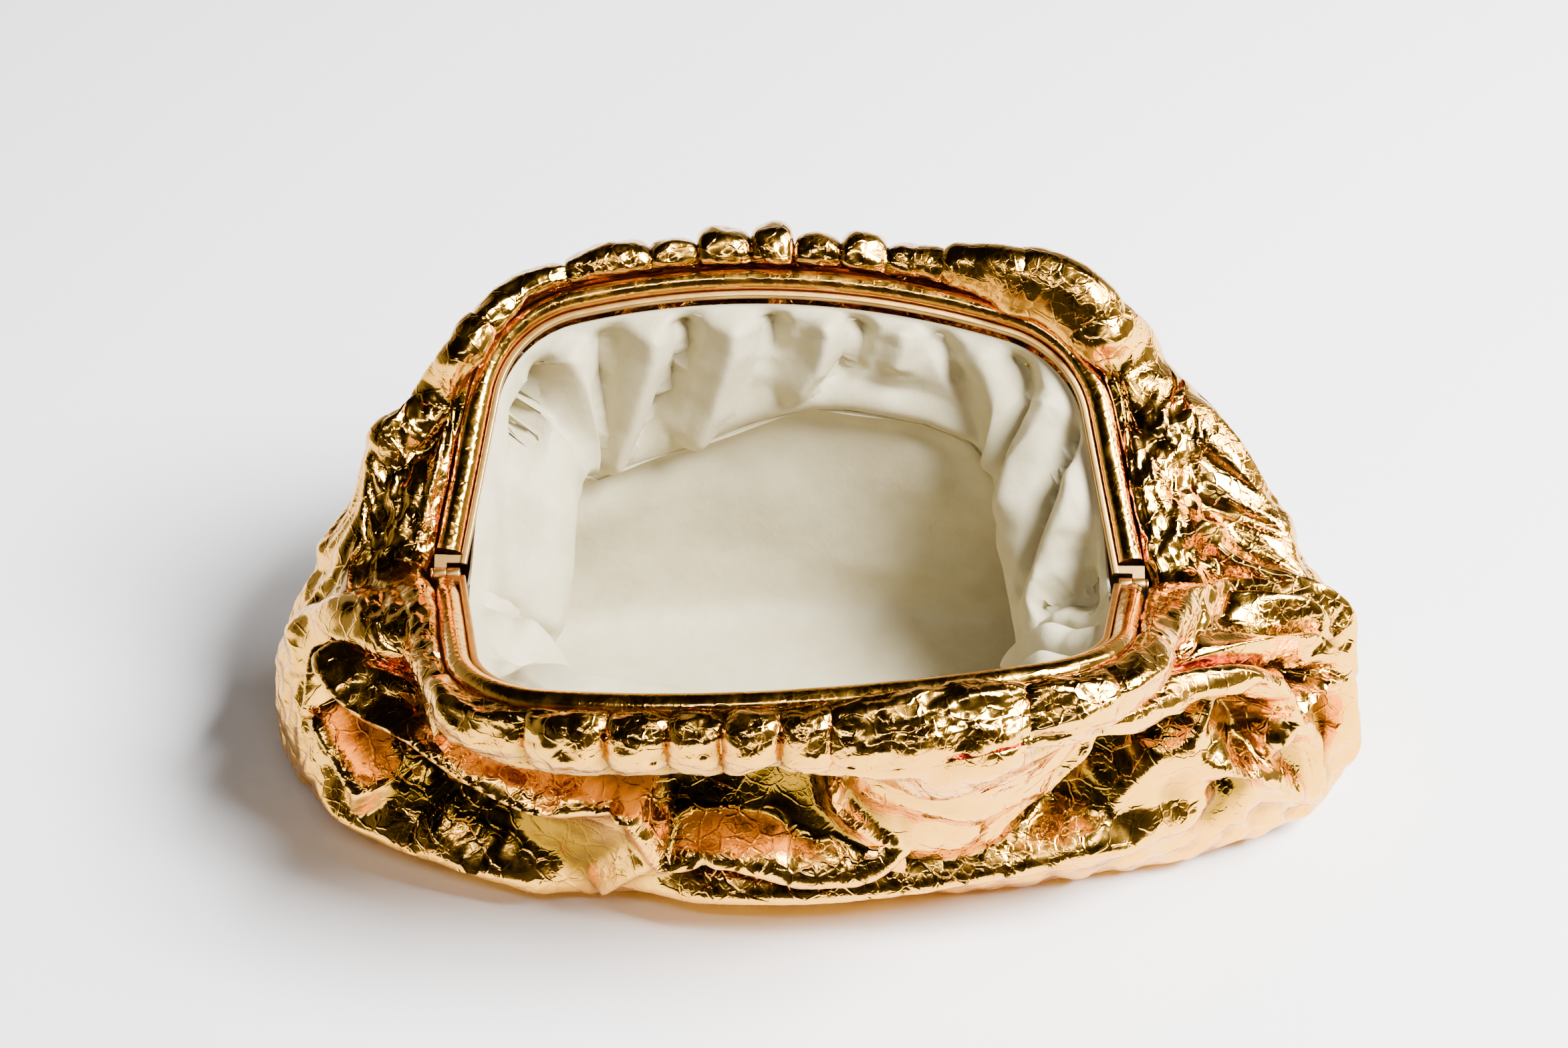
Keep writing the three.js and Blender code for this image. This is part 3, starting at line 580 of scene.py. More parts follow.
def leatherRows(u):
    # All rows of the table at each u: the rows beside the frame, then the ovals of the body
    m = mouthAt(u)
    swell, sag = np.where(m["back"], puffAt(m["share"], backGathers, bodyLook["backPinch"]),
                          puffAt(m["share"], frontGathers, bodyLook["frontPinch"]))
    begin, fade = flare[2 * m["back"] + (m["share"] > 0.5)].T
    near = smoothStep(1 - (m["s"] - begin) / fade)
    rows = []
    knuckle = smoothStep(1 - m["s"] / 10)  # the leather keeps clear of the hinge
    flow = np.where(m["back"], 0, np.interp(m["share"], *flowOn.T)) * (1 - near)
    for row, (flowOut, flowUp), (leanOut, leanPuff) in zip(rimRows, flowRows, backLean):
        out, outPuff, up, upPuff, hingeOut, hingeUp, down = row
        lower = np.where(m["back"], 0, down)
        lean = np.where(m["back"], leanOut + leanPuff * swell, 0)
        out, up = out + lower / 5 + lean, up - lower
        o = mix(out + outPuff * swell, hingeOut + 1.6 * knuckle, near)
        h = mix(up + upPuff * swell + min(upPuff, 0) * (sag - swell), hingeUp, near)
        o, h = o + flow * flowOut, h + flow * flowUp
        rows.append(m["centre"] + m["out"] * o[..., None] + m["up"] * h[..., None])
    rows += [ringRow(u, row, frameShape["bodyShift"]) for row in bodyRows]
    return np.array(rows)


def leatherPlace(u, v):
    # Single places on the plain body, for lines that run over it
    rows = leatherRows(u)
    i = np.minimum(v.astype(int), len(rows) - 2)
    column = np.arange(len(u))
    return catmullRom([rows[np.clip(i + k, 0, len(rows) - 1), column] for k in (-1, 0, 1, 2)], (v - i)[:, None])


# Folds of the body: height, half width, sharpness, roundness of the crest, and the places that it runs through
bodyFolds = [
    # the great fold behind the right corner, with its hollow beside the frame
    (14, 18, 1.5, 1.5, [(0.322, 1.9), (0.345, 1.75), (0.375, 1.92), (0.389, 2.34), (0.401, 4.36), (0.416, 5.72),
                        (0.426, 6.35), (0.44, 7.2)]),
    (-5.5, 9, 1.2, 2, [(0.333, 1.5), (0.358, 1.4), (0.386, 1.4), (0.414, 1.6), (0.434, 1.8)]),
    # the back left ridge beside the frame
    (8, 11, 1.5, 1.2, [(0.12, 1.2), (0.098, 1.2), (0.085, 2.76), (0.064, 4.38), (0.041, 5.85)]),
    (-5, 8, 1.3, 1.5, [(0.1, 0.6), (0.07, 1.5), (0.045, 3.0)]),
    # the long front left ridge over its hollow
    (15, 13, 1.3, 1.5, [(0.95, 6.9), (0.936, 7.17), (0.906, 7.43), (0.878, 7.53), (0.855, 7.85), (0.829, 8.14),
                        (0.802, 8.27)]),
    (-17, 22, 1.0, 5, [(0.93, 7.8), (0.89, 8.15), (0.86, 8.5), (0.825, 8.9)]),
    (8, 8, 1.4, 1.2, [(0.956, 6.98), (0.942, 7.48), (0.935, 8.06), (0.933, 8.4)]),
    (9, 9, 1.4, 1.2, [(0.935, 8.0), (0.915, 8.4), (0.896, 8.9), (0.898, 9.45)]),
    (9, 11, 1.3, 1.5, [(0.93, 9.3), (0.898, 9.45), (0.862, 9.48), (0.833, 9.61), (0.811, 9.87)]),
    # the knot where the ridges meet, and the ridges on its right
    (10, 9, 1.3, 1.2, [(0.81, 8.2), (0.802, 8.27), (0.79, 8.87), (0.772, 8.72)]),
    (8, 8, 1.4, 1.2, [(0.79, 8.8), (0.8, 9.2), (0.808, 9.7)]),
    (11, 11, 1.3, 1.5, [(0.784, 8.74), (0.772, 8.72), (0.753, 8.93), (0.741, 8.93), (0.722, 8.66)]),
    (-6, 10, 1.0, 2, [(0.785, 9.15), (0.765, 9.1), (0.735, 9.05), (0.7, 8.95)]),
    (9, 11, 1.3, 1.5, [(0.8, 9.6), (0.772, 9.4), (0.737, 9.27), (0.706, 9.08), (0.67, 8.95), (0.64, 9.0)]),
    # the hollow under the front gathers
    (-17, 28, 1.0, 6, [(0.865, 7.0), (0.83, 7.3), (0.80, 7.6), (0.77, 7.8), (0.735, 7.9)]),
    # the smooth tongue below the wide gather, with its small hollow and the long hollow on its right
    (17, 34, 1.1, 10, [(0.703, 6.0), (0.704, 6.8), (0.706, 7.4), (0.712, 8.4)]),
    (5, 8, 1.4, 1.0, [(0.746, 7.61), (0.744, 8.14), (0.734, 8.56), (0.722, 8.69)]),
    (5, 8, 1.4, 1.0, [(0.66, 7.19), (0.676, 7.88), (0.696, 8.48), (0.706, 8.85)]),
    (-6, 6, 1.0, 1.5, [(0.73, 7.64), (0.726, 8.16), (0.723, 8.61)]),
    (-16, 17, 1.0, 3, [(0.584, 6.35), (0.62, 6.9), (0.647, 7.35), (0.662, 7.9), (0.68, 8.5), (0.70, 8.9)]),
    # the arch over the right crumples
    (8, 10, 1.5, 1.2, [(0.634, 3.33), (0.617, 2.73), (0.584, 2.21), (0.539, 2.99), (0.504, 5.12), (0.519, 6.75),
                       (0.525, 7.48)]),
    (7, 9, 1.4, 1.0, [(0.605, 5.6), (0.592, 7.0), (0.578, 8.6), (0.572, 9.6)]),
    (-8, 9, 1.1, 1.5, [(0.582, 6.0), (0.568, 7.4), (0.558, 9.0)]),
    (7, 9, 1.4, 1.0, [(0.562, 5.4), (0.55, 7.0), (0.542, 8.5), (0.537, 9.6)]),
    (-7, 9, 1.1, 1.5, [(0.545, 6.2), (0.532, 7.6), (0.522, 9.0)]),
    (7, 9, 1.4, 1.0, [(0.632, 8.1), (0.605, 8.6), (0.58, 9.3)]),
    (-9, 10, 1.1, 1.5, [(0.612, 7.3), (0.605, 8.1), (0.622, 9.0)]),
    (6, 8, 1.4, 1.0, [(0.535, 8.2), (0.56, 7.8), (0.585, 8.0), (0.6, 8.5)]),
    (7, 10, 1.5, 1.2, [(0.475, 3.2), (0.48, 5.4), (0.5, 7.0), (0.51, 8.4)]),
    # the smooth roll and the neck beside the left hinge
    (9, 15, 1.3, 3, [(0.985, 7.9), (0.978, 7.4), (0.971, 6.17), (0.959, 4.86), (0.946, 4.07)]),
    (4, 6, 1.2, 1.5, [(0.985, 1.5), (0.971, 1.68), (0.938, 2.26), (0.889, 2.05), (0.874, 3.47)]),
    (8, 22, 1.2, 5, [(0.03, 7.4), (0.06, 7.2), (0.085, 6.6)]),
    # soft folds down the back
    (10, 15, 1.4, 2, [(0.3, 6.6), (0.265, 7.8), (0.22, 8.6), (0.18, 8.9)]),
    (-6, 14, 1.1, 3, [(0.19, 7.2), (0.16, 8.2), (0.14, 9.4)]),
    (7, 13, 1.4, 2, [(0.36, 7.2), (0.39, 8.2), (0.42, 8.9), (0.46, 9.2)]),
    (6, 11, 1.4, 2, [(0.16, 6.4), (0.13, 7.4), (0.1, 8.6), (0.08, 9.3)]),
    (-5, 12, 1.1, 3, [(0.33, 7.6), (0.34, 8.8), (0.31, 9.4)]),
    (6, 10, 1.4, 1.5, [(0.235, 6.4), (0.215, 7.3), (0.235, 8.2)]),
]
# Soft pleats down the back from each pinch: their depth, run and length vary by sines of their number
for k, pinch in enumerate(backGathers[3:14, 0] / 2):
    aside = math.sin(1.7 * k)
    bodyFolds.append((-6 - 2 * math.sin(2.4 * k), 9 + 2 * math.sin(1.3 * k), 1.1, 2,
                      [(pinch, 4.8), (pinch + 0.006 * aside, 6.2), (pinch + 0.02 * aside, 7.5 + math.sin(2.1 * k))]))
# Slim welts that run along the sides of the frame: height, half width and the stretch of u, at a row
sideWelts = [
    (1.6, 2.4, 0.8, 0.4, [(0.015, 0.75), (0.06, 0.8), (0.11, 0.8), (0.15, 0.7)]),
    (1.8, 2.6, 0.8, 0.4, [(0.02, 1.45), (0.06, 1.5), (0.1, 1.45), (0.13, 1.3)]),
    (1.6, 2.4, 0.8, 0.4, [(0.36, 0.7), (0.4, 0.75), (0.45, 0.8), (0.485, 0.75)]),
    (1.8, 2.6, 0.8, 0.4, [(0.385, 1.35), (0.42, 1.4), (0.455, 1.45), (0.48, 1.4)]),
    (1.8, 2.6, 0.8, 0.4, [(0.985, 0.8), (0.955, 0.9), (0.92, 0.9), (0.89, 0.8)]),
    (1.8, 2.6, 0.8, 0.4, [(0.515, 0.8), (0.54, 0.9), (0.575, 0.9), (0.61, 0.8)]),
]


def blobs(u, v, places):
    # Sums up how much each place on the leather counts, falling away from it: much * exp of minus the squared
    # distance in widths
    return sum(much * np.exp(-(((np.mod(u - at[0] + 0.5, 1) - 0.5) / wide[0]) ** 2) - ((v - at[1]) / wide[1]) ** 2)
               for much, at, wide in places)


def boxBlur(values, wide, tall):
    # The mean over wide columns and tall rows, by differences of running sums; it closes round the columns
    w, h = wide // 2, tall // 2
    p = np.concatenate([values[:, -w - 1:], values, values[:, :w]], 1).cumsum(1)
    p = (p[:, 2 * w + 1:] - p[:, :-2 * w - 1]) / (2 * w + 1)
    p = np.concatenate([p[:1]] * (h + 1) + [p] + [p[-1:]] * h, 0).cumsum(0)
    return (p[2 * h + 1:] - p[:-2 * h - 1]) / (2 * h + 1)


# Where the leather is crumpled and where it stays smooth: how much, where in u and row, and how wide in u and row
crumples = [(1, (0.535, 5.5), (0.075, 3.2)), (0.8, (0.6, 8.2), (0.05, 1.6)), (0.9, (0.01, 4.5), (0.06, 3.0)),
            (0.5, (0.43, 5), (0.05, 3)), (0.9, (0.575, 8.4), (0.055, 1.6))]
smooths = [(1, (0.705, 6.6), (0.035, 2.2)), (0.7, (0.965, 7.2), (0.03, 1.2)), (0.9, (0.66, 2.5), (0.07, 3.0))]


def makeBody():
    columns = bodyLook["columns"]
    u = np.arange(columns) / columns
    v = np.concatenate([np.linspace(0, 7, bodyLook["rimRows"], endpoint=False),
                        np.linspace(7, 11, bodyLook["bellyRows"], endpoint=False),
                        np.linspace(11, 13, bodyLook["floorRows"] + 1)])
    plain = curveThrough(leatherRows(u), v)
    plain[..., 2] = np.maximum(plain[..., 2], 0)
    uu, vv = np.meshgrid(u, v)
    normals = gridNormals(plain)
    free = smoothStep((vv - 0.1) / 0.5) * smoothStep((11.1 - vv) / 0.7)
    height = polylineHeights(plain, u, leatherPlace, bodyFolds) * free
    height += polylineHeights(plain, u, leatherPlace, sideWelts) * smoothStep(vv / 0.3)
    shaped = plain + normals * height[..., None]
    shaped[..., 2] = np.maximum(shaped[..., 2], 0)
    print("body: plain form and", len(bodyFolds), "folds")

    # Spare leather: most at the crumpled ends, little on the smooth tongue, and none on the floor
    crumpled = blobs(uu, vv, crumples)
    smooth = np.clip(blobs(uu, vv, smooths), 0, 1)
    rim = smoothStep((4.5 - vv) / 2) * np.where(uu < 0.5, 0.6, 1)
    growU = (0.03 + 0.075 * crumpled) * (1 - 0.85 * smooth) * (1 - 0.7 * rim * (1 - np.clip(crumpled, 0, 1)))
    growV = (0.045 - 0.03 * rim + 0.075 * crumpled) * (1 - 0.85 * smooth)

    spare = bodyLook["spare"]
    leather = shaped + layLeather("body:", bodyLook, shaped, growU * spare, growV * spare, free)
    leather[..., 2] = np.maximum(leather[..., 2], 0)

    # How much painted shade each place gets: how deep it lies in a hollow, the one under the front gathers and the
    # creases at the frame with it, less on ridges
    valley = ((boxBlur(leather, 21, 9) - leather) * gridNormals(boxBlur(leather, 9, 5))).sum(-1)
    pinches = np.concatenate([backGathers[2:15, 0] / 2, 1 - frontGathers[2:12, 0] / 2])
    creases = [(0.9, (0.815, 6.2), (0.075, 1.3))] + [(0.8, (pinch, 0.9), (0.003, 1)) for pinch in pinches]
    paintedShadeDepth = (np.clip(-height / 3.5, 0, 1) + np.clip(valley / 2.5, 0, 0.8) - 0.6 * np.clip(height / 5, 0, 1)
               + 0.6 * smoothStep((1 - vv) / 0.8) + blobs(uu, vv, creases))
    deep = mix(bodyLook["wall"], bodyLook["backWall"], smoothStep((vv - 1) / 3))
    backing = leather - gridNormals(plain) * deep[..., None]
    backing[..., 2] = np.maximum(backing[..., 2], bodyLook["wall"])
    half = columns // 2
    for name, first in (("pouch_back_panel", 0), ("pouch_front_panel", half)):
        take = np.arange(first, first + half + 1) % columns
        panel = wallMesh(name, leather[:, take], backing[::4, take[::4]], False)
        panel.data.materials.append(goldLeather)
        # The painted shade goes on each panel as a point attribute that darkens the gold's colour in its folds
        paintedFoldShade = np.zeros(len(panel.data.vertices), np.float32)
        paintedFoldShade[:leather[:, take, 0].size] = np.clip(paintedShadeDepth[:, take], 0, 1).ravel()
        panel.data.attributes.new("paintedFoldShade", "FLOAT", "POINT").data.foreach_set("value", paintedFoldShade)
        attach(panel, "root")
        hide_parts("pouch_body")
        print(name, len(panel.data.vertices), "vertices")
    return backing[(v > 5.7) & (v < 11.2)][::2, ::2]


leatherBack = makeBody()


# The lining: the rows that hang from the lip, the ovals down to the base, and its folds
liningLook = {
    "columns": 480, "hangRows": 80, "wallRows": 56, "baseRows": 17, "wall": 1.2, "floor": 3.4, "room": 2.2,
    "seed": 5, "levels": [(8, 90, 0.006, 0.16, 1.6), (4, 60, 0.012, 0.2, 0.2), (2, 20, 0.02, 0.3, 0.03)],
}
# How far each row stands from the frame's centreline and below it: at the front bar, the back bar, the sides and
# the hinges
hangRows = np.array([
    [-6, -6, 3.9, -6, 3.9, -8.4, 4.2], [-10, -11, 9, -13, 10, -13, 10.5], [-17, -15, 20, -26, 20, -25, 20],
    [-25, -16, 33, -35, 36, -34, 34], [-30, -9, 42, -30, 54, -30, 50],
])
# How much lower the back fold hangs, by place along the bar from the left hinge to the right
backFall = np.array([[0, 0], [0.18, 0.15], [0.3, 0.75], [0.42, 0.45], [0.52, 0.05], [0.64, 0.1], [0.76, 0.5],
                     [0.85, 0.2], [1, 0]])
liningOvals = np.array([
    [158, 70, 88, 62, 70, 34, 0, 1, 0], [181, 77, 85, 30, 34, 22, 0, 1, 0], [172, 64, 74, 6, 6, 6, 0, 1, 0],
    [90, 30, 30, 3.4, 3.4, 3.4, 0, 1, 0],
])
# Folds of the lining: height, half width, sharpness, roundness, and the places in u and row that each runs through
liningFolds = [
    # the corner tuck and the pleats that sweep down from the back bar's left half
    (-9, 6, 1.0, 1.5, [(0.118, 0.5), (0.124, 1.6), (0.122, 2.6)]),
    (9, 11, 1.3, 3, [(0.135, 0.5), (0.142, 1.6), (0.137, 3.0), (0.125, 3.8)]),
    (-12, 7, 1.1, 1.5, [(0.165, 0.4), (0.160, 1.4), (0.150, 2.6), (0.135, 3.4)]),
    (11, 10, 1.3, 3, [(0.185, 0.4), (0.180, 1.4), (0.168, 2.6), (0.148, 3.6)]),
    (-13, 7, 1.1, 1.5, [(0.202, 0.3), (0.197, 1.4), (0.185, 2.5), (0.165, 3.3)]),
    (12, 11, 1.3, 3, [(0.222, 0.3), (0.220, 1.4), (0.210, 2.6), (0.190, 3.6)]),
    (-9, 6, 1.1, 1.5, [(0.240, 0.3), (0.242, 1.0), (0.238, 1.9)]),
    (11, 9, 1.4, 2, [(0.262, 0.3), (0.266, 1.0), (0.262, 2.0), (0.245, 3.2)]),
    (-10, 6, 1.1, 1.5, [(0.276, 0.2), (0.282, 0.9), (0.278, 1.9), (0.266, 2.6)]),
    (6, 9, 1.4, 2, [(0.300, 0.3), (0.304, 1.1), (0.300, 2.0)]),
    (-7, 6, 1.1, 1.5, [(0.318, 0.2), (0.326, 1.0), (0.336, 2.0)]),
    (9, 11, 1.3, 3, [(0.335, 0.3), (0.345, 1.2), (0.360, 2.4), (0.375, 3.4)]),
    (-14, 9, 1.1, 1.5, [(0.352, 0.3), (0.366, 1.3), (0.384, 2.4), (0.398, 3.4)]),
    # the lower edge of what hangs at the back
    (8, 11, 1.3, 2.5, [(0.11, 3.9), (0.16, 3.7), (0.21, 3.6), (0.26, 3.6), (0.31, 3.7), (0.36, 3.8)]),
    # twisting folds of the right curtain
    (10, 12, 1.3, 3, [(0.385, 0.5), (0.398, 1.4), (0.418, 2.3), (0.435, 3.0)]),
    (-10, 6, 1.1, 1.5, [(0.405, 0.3), (0.424, 1.1), (0.446, 2.0), (0.462, 2.8)]),
    (8, 10, 1.3, 2.5, [(0.430, 0.4), (0.448, 1.1), (0.468, 1.9), (0.482, 2.8)]),
    (-6, 7, 1.1, 2, [(0.462, 0.8), (0.480, 1.6), (0.494, 2.4)]),
    (6, 9, 1.3, 2.5, [(0.515, 1.6), (0.505, 2.4), (0.485, 3.2)]),
    (-8, 6, 1.1, 1.5, [(0.535, 1.3), (0.522, 2.2), (0.505, 3.1)]),
    (10, 10, 1.3, 2.5, [(0.552, 1.4), (0.542, 2.4), (0.530, 3.4)]),
    (-8, 6, 1.1, 1.5, [(0.572, 1.4), (0.562, 2.4), (0.550, 3.4)]),
    (9, 9, 1.3, 2, [(0.592, 1.4), (0.584, 2.4), (0.575, 3.4)]),
    # the left curtain's bulges and its low folds
    (6, 20, 1.2, 5, [(0.075, 2.2), (0.03, 2.6), (0.005, 2.9)]),
    (-9, 7, 1.1, 1.5, [(0.992, 1.4), (0.988, 2.2), (0.990, 3.2)]),
    (8, 12, 1.3, 3, [(0.972, 1.5), (0.966, 2.5), (0.960, 3.5)]),
    (-8, 6, 1.1, 1.5, [(0.948, 1.4), (0.938, 2.5), (0.925, 3.5)]),
    (9, 10, 1.3, 2, [(0.925, 1.5), (0.912, 2.5), (0.895, 3.5)]),
]


def liningRowsAt(u):
    # The hanging rows blend from the bars to the sides and the hinges; the ovals follow
    m = mouthAt(u)
    side = smoothStep((sideLength + cornerLength + 12 - m["s"]) / 50)
    hinge = smoothStep(1 - m["s"] / 30)
    rows = []
    for front, back, drop, end, endDrop, hingeOut, hingeDrop in hangRows:
        out = mix(mix(np.where(m["back"], back, front), end, side), hingeOut, hinge)
        weight = 0 if drop < 8 else min(1, drop / 33)
        fall = 1 + np.where(m["back"], np.interp(m["share"], *backFall.T), 0) * weight
        down = mix(mix(drop * fall, endDrop, side), hingeDrop, hinge)
        rows.append(m["centre"] + m["out"] * out[..., None] - np.array([0, 0, 1.0]) * down[..., None])
    return np.array(rows + [ringRow(u, row, frameShape["bodyShift"]) for row in liningOvals])


def liningPlace(u, v):
    # Single places on the plain lining, for lines that run over it
    rows = liningRowsAt(u)
    i = np.minimum(v.astype(int), len(rows) - 2)
    t, k = (v - i)[:, None], np.arange(len(u))
    return mix(rows[i, k], rows[i + 1, k], t)


def pushesInside(sheet, tree, room):
    # How far each place has to move inwards to lie room inside the nearest place on the leather's back
    moves = np.zeros_like(sheet)
    for k in np.ndindex(sheet.shape[:2]):
        here = Vector(sheet[k])
        place, normal, _, _ = tree.find_nearest(here)
        short = room - (place - here).dot(normal)
        if 0 < short < 25:
            moves[k] = normal * -short
    return moves


def makeLining(leatherBack):
    look = liningLook
    u = 1 - np.arange(look["columns"]) / look["columns"]  # the other way round, so that its inner side faces out
    v = np.concatenate([np.linspace(0, 4, look["hangRows"], endpoint=False),
                        np.linspace(4, 7, look["wallRows"], endpoint=False), np.linspace(7, 8, look["baseRows"])])
    plain = curveThrough(liningRowsAt(u), v)
    uu, vv = np.meshgrid(u, v)
    free = smoothStep((vv - 0.1) / 0.7) * smoothStep((6.7 - vv) / 0.6)
    normals = gridNormals(plain)
    shaped = plain + normals * (polylineHeights(plain, u, liningPlace, liningFolds) * free)[..., None]
    side = np.exp(-((np.mod(uu + 0.1, 0.5) - 0.1) / 0.09) ** 2)
    growU = 0.012 + 0.012 * smoothStep((3.6 - vv) / 1.5) * (uu < 0.5)
    growV = 0.012 + 0.03 * side * smoothStep((4.6 - vv) / 1.5)
    sheet = shaped + spread(layLeather("lining:", look, shaped, growU, growV, free))

    # Where a hollow of the leather reaches it, the lining gives way: first softly round about, then the rest
    faces = gridFaces(*leatherBack.shape[:2], 0, True)
    tree = BVHTree.FromPolygons(leatherBack.reshape(-1, 3).tolist(), faces.tolist())
    below = smoothStep((vv - 0.7) / 0.8)[..., None]
    sheet = sheet + 1.5 * below * boxBlur(pushesInside(sheet, tree, look["room"]), 21, 13)
    for tall in (7, 1):
        sheet = sheet + below * boxBlur(pushesInside(sheet, tree, look["room"]), tall, tall)
    sheet[..., 2] = np.maximum(sheet[..., 2], look["floor"])
    backing = (sheet - gridNormals(sheet) * look["wall"])[::4, ::4]
    backing[..., 2] = np.maximum(backing[..., 2], look["floor"] - look["wall"])
    backing[-1, :, 2] = look["floor"] - look["wall"]
    piece = wallMesh("lining_leather", sheet, backing, True, 70)
    piece.data.materials.append(nappa)
    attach(piece, "root")
    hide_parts("lining")
    print("lining:", len(piece.data.vertices), "vertices")


makeLining(leatherBack)


# The frame: leather-covered beads, bare metal lips and hinges
beadLook = {"radius": 4.7, "out": 1.0, "start": 9.0, "sides": 40, "steps": 520, "crease": 0.035, "slim": 0.72}
lipLook = {"width": 2.6, "height": 3.4, "gap": 0.35, "round": 0.7, "start": 5.0, "steps": 420}


def tubeMesh(name, p, sharp=50):
    # A tube of closed rings, outward where round by down points, with a fan of triangles over each end
    rows, cols = p.shape[:2]
    ring, middle = np.arange(cols), rows * cols
    fans = [fan(ring, middle)[:, [1, 0, 2]], fan(ring + middle - cols, middle + 1)]
    points = np.concatenate([p.reshape(-1, 3), [p[0].mean(0), p[-1].mean(0)]])
    return makeMesh(name, points, gridFaces(rows, cols, 0, True), np.concatenate(fans), sharp)


def sweepMesh(name, half, start, steps, section):
    # A section carried along a frame half: each place is the centreline plus its offsets out and square to the half
    share = np.linspace(start / 2 / halfLength, 1 - start / 2 / halfLength, steps)
    m = mouthAt(share / 2 if half == "back" else 1 - share / 2)
    out, up = section(m)
    p = m["centre"][:, None] + m["out"][:, None] * out[..., None] + m["square"][:, None] * up[..., None]
    return tubeMesh(name, p[:, ::-1] if half == "front" else p)


def beadSection(half):
    # A circle with shallow wrinkles: sines across and along it, and slimmer towards the hinges at the front
    def section(m):
        a = np.arange(beadLook["sides"]) / beadLook["sides"] * 2 * np.pi
        s = (m["share"] * 2 * halfLength)[:, None]
        slim = mix(beadLook["slim"] if half == "front" else 1, 1, smoothStep((m["s"] - beadLook["start"]) / 14))
        wave = np.sin(s * 0.83 + 2 * np.sin(s * 0.11)) * np.sin(a * 2 + s * 0.07) + np.sin(s * 1.9 + 1.3 * a)
        wave += 1.6 * np.sin(s * 0.21 + 3 * np.sin(a + s * 0.02))
        bar = smoothStep((m["s"] - 40) / 60)[:, None]
        r = beadLook["radius"] * slim[:, None] + beadLook["crease"] * wave * (0.4 + 0.6 * (1 - bar))
        return beadLook["out"] + r * np.cos(a), r * np.sin(a)
    return section


def lipSection(m):
    # A box with round edges, inside the bead: the corner's arc is drawn in five places
    w, h, r = lipLook["width"] / 2, lipLook["height"] / 2, lipLook["round"]
    middle = beadLook["out"] - beadLook["radius"] - lipLook["gap"] - w
    turn = np.concatenate([np.linspace(k, k + 1, 6) for k in range(4)]) * np.pi / 2
    cornerX = np.repeat([w - r, r - w, r - w, w - r], 6)
    cornerY = np.repeat([h - r, h - r, r - h, r - h], 6)
    out, up = middle + cornerX + r * np.cos(turn), cornerY + r * np.sin(turn)
    return np.tile(out, (len(m["s"]), 1)), np.tile(up, (len(m["s"]), 1))


for half in ("back", "front"):
    bead = sweepMesh("frame_bead_" + half, half, beadLook["start"], beadLook["steps"], beadSection(half))
    bead.data.materials.append(tightGold)
    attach(bead, "root")
    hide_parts("frame_bar_" + half)


def jointMesh(name, parts):
    # Joins solids into one piece of gilt metal with exact unions
    first = parts[0]
    for other in parts[1:]:
        joined = first.modifiers.new("join", "BOOLEAN")
        joined.operation, joined.solver, joined.object = "UNION", "EXACT", other
    bpy.context.view_layer.update()
    mesh = bpy.data.meshes.new_from_object(first.evaluated_get(bpy.context.evaluated_depsgraph_get()))
    for part in parts:
        bpy.data.objects.remove(part)
    mesh.shade_smooth()
    mesh.set_sharp_from_angle(angle=math.radians(35))
    mesh.materials.clear()
    mesh.materials.append(giltMetal)
    return linked(name, mesh)


hingeLook = {"knuckle": 2.6, "length": 4.7, "pin": 1.1, "bore": 1.4, "head": 2.3, "headThick": 0.9, "leaf": 0.8,
             "leafEnd": 7.4, "crossStart": 4.4, "clear": 0.35, "inset": 0.06, "sides": 40}


def roundedRod(name, start, end, radius, edge):
    # A rod along the hinge axis with its edges rounded over in three steps
    turn = np.linspace(0, np.pi / 2, 4)
    inwards, lower = edge * (1 - np.cos(turn)), radius - edge * (1 - np.sin(turn))
    x = np.concatenate([min(start, end) + inwards, (max(start, end) - inwards)[::-1]])[:, None]
    r = np.concatenate([lower, lower[::-1]])[:, None]
    a = np.arange(hingeLook["sides"]) / hingeLook["sides"] * 2 * np.pi
    p = np.stack([x + 0 * a, r * np.cos(a), frameShape["hingeHeight"] + r * np.sin(a)], -1)
    return tubeMesh(name, p, 35)


def leafBox(name, x0, x1, y0, y1, thick, tilt):
    # A flat box beside the hinge axis, turned about that axis
    p = np.array([[x, y, z] for x in (min(x0, x1), max(x0, x1)) for y in (y0, y1) for z in (-thick, thick)])
    c, s = math.cos(tilt), math.sin(tilt)
    p = np.stack([p[:, 0], p[:, 1] * c - p[:, 2] * s, p[:, 1] * s + p[:, 2] * c + frameShape["hingeHeight"]], -1)
    quads = [[0, 1, 3, 2], [4, 6, 7, 5], [0, 4, 5, 1], [2, 3, 7, 6], [0, 2, 6, 4], [1, 5, 7, 3]]
    return makeMesh(name, p, quads)


def makeMetal(half):
    # The lip, and at each end a leaf that joins it to its knuckle, bored for the pin
    h = hingeLook
    parts = [sweepMesh("frameLip", half, lipLook["start"], lipLook["steps"], lipSection)]
    lipIn = beadLook["out"] - beadLook["radius"] - lipLook["gap"] - lipLook["width"]
    for side in (-1, 1):
        x = side * halfSpan
        twist = frameShape["twist"] * side
        lean = frameShape["backTilt"] if half == "back" else 180 - frameShape["frontTilt"]
        tilt = math.radians(lean - twist)
        outer = h["length"] + h["clear"] / 2 if half == "back" else -h["clear"] / 2
        start, end = x + side * (outer - h["length"]), x + side * outer
        # each solid ends a little inside the one before, so that no two faces lie in one plane
        s = side * h["inset"]
        parts.append(leafBox("leaf", start + s, end - s, 0, h["leafEnd"], h["leaf"], tilt))
        parts.append(leafBox("leaf", end - 2 * s, x + side * (lipIn + 0.6),
                             h["crossStart"], h["leafEnd"] - h["inset"],
                             h["leaf"] - h["inset"], tilt))
        parts.append(roundedRod("knuckle", start, end, h["knuckle"], 0.35))
    return jointMesh("frame_lip_" + half, parts)


for half in ("back", "front"):
    metal = makeMetal(half)
    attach(metal, "root")
    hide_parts("frame_metal_" + half)

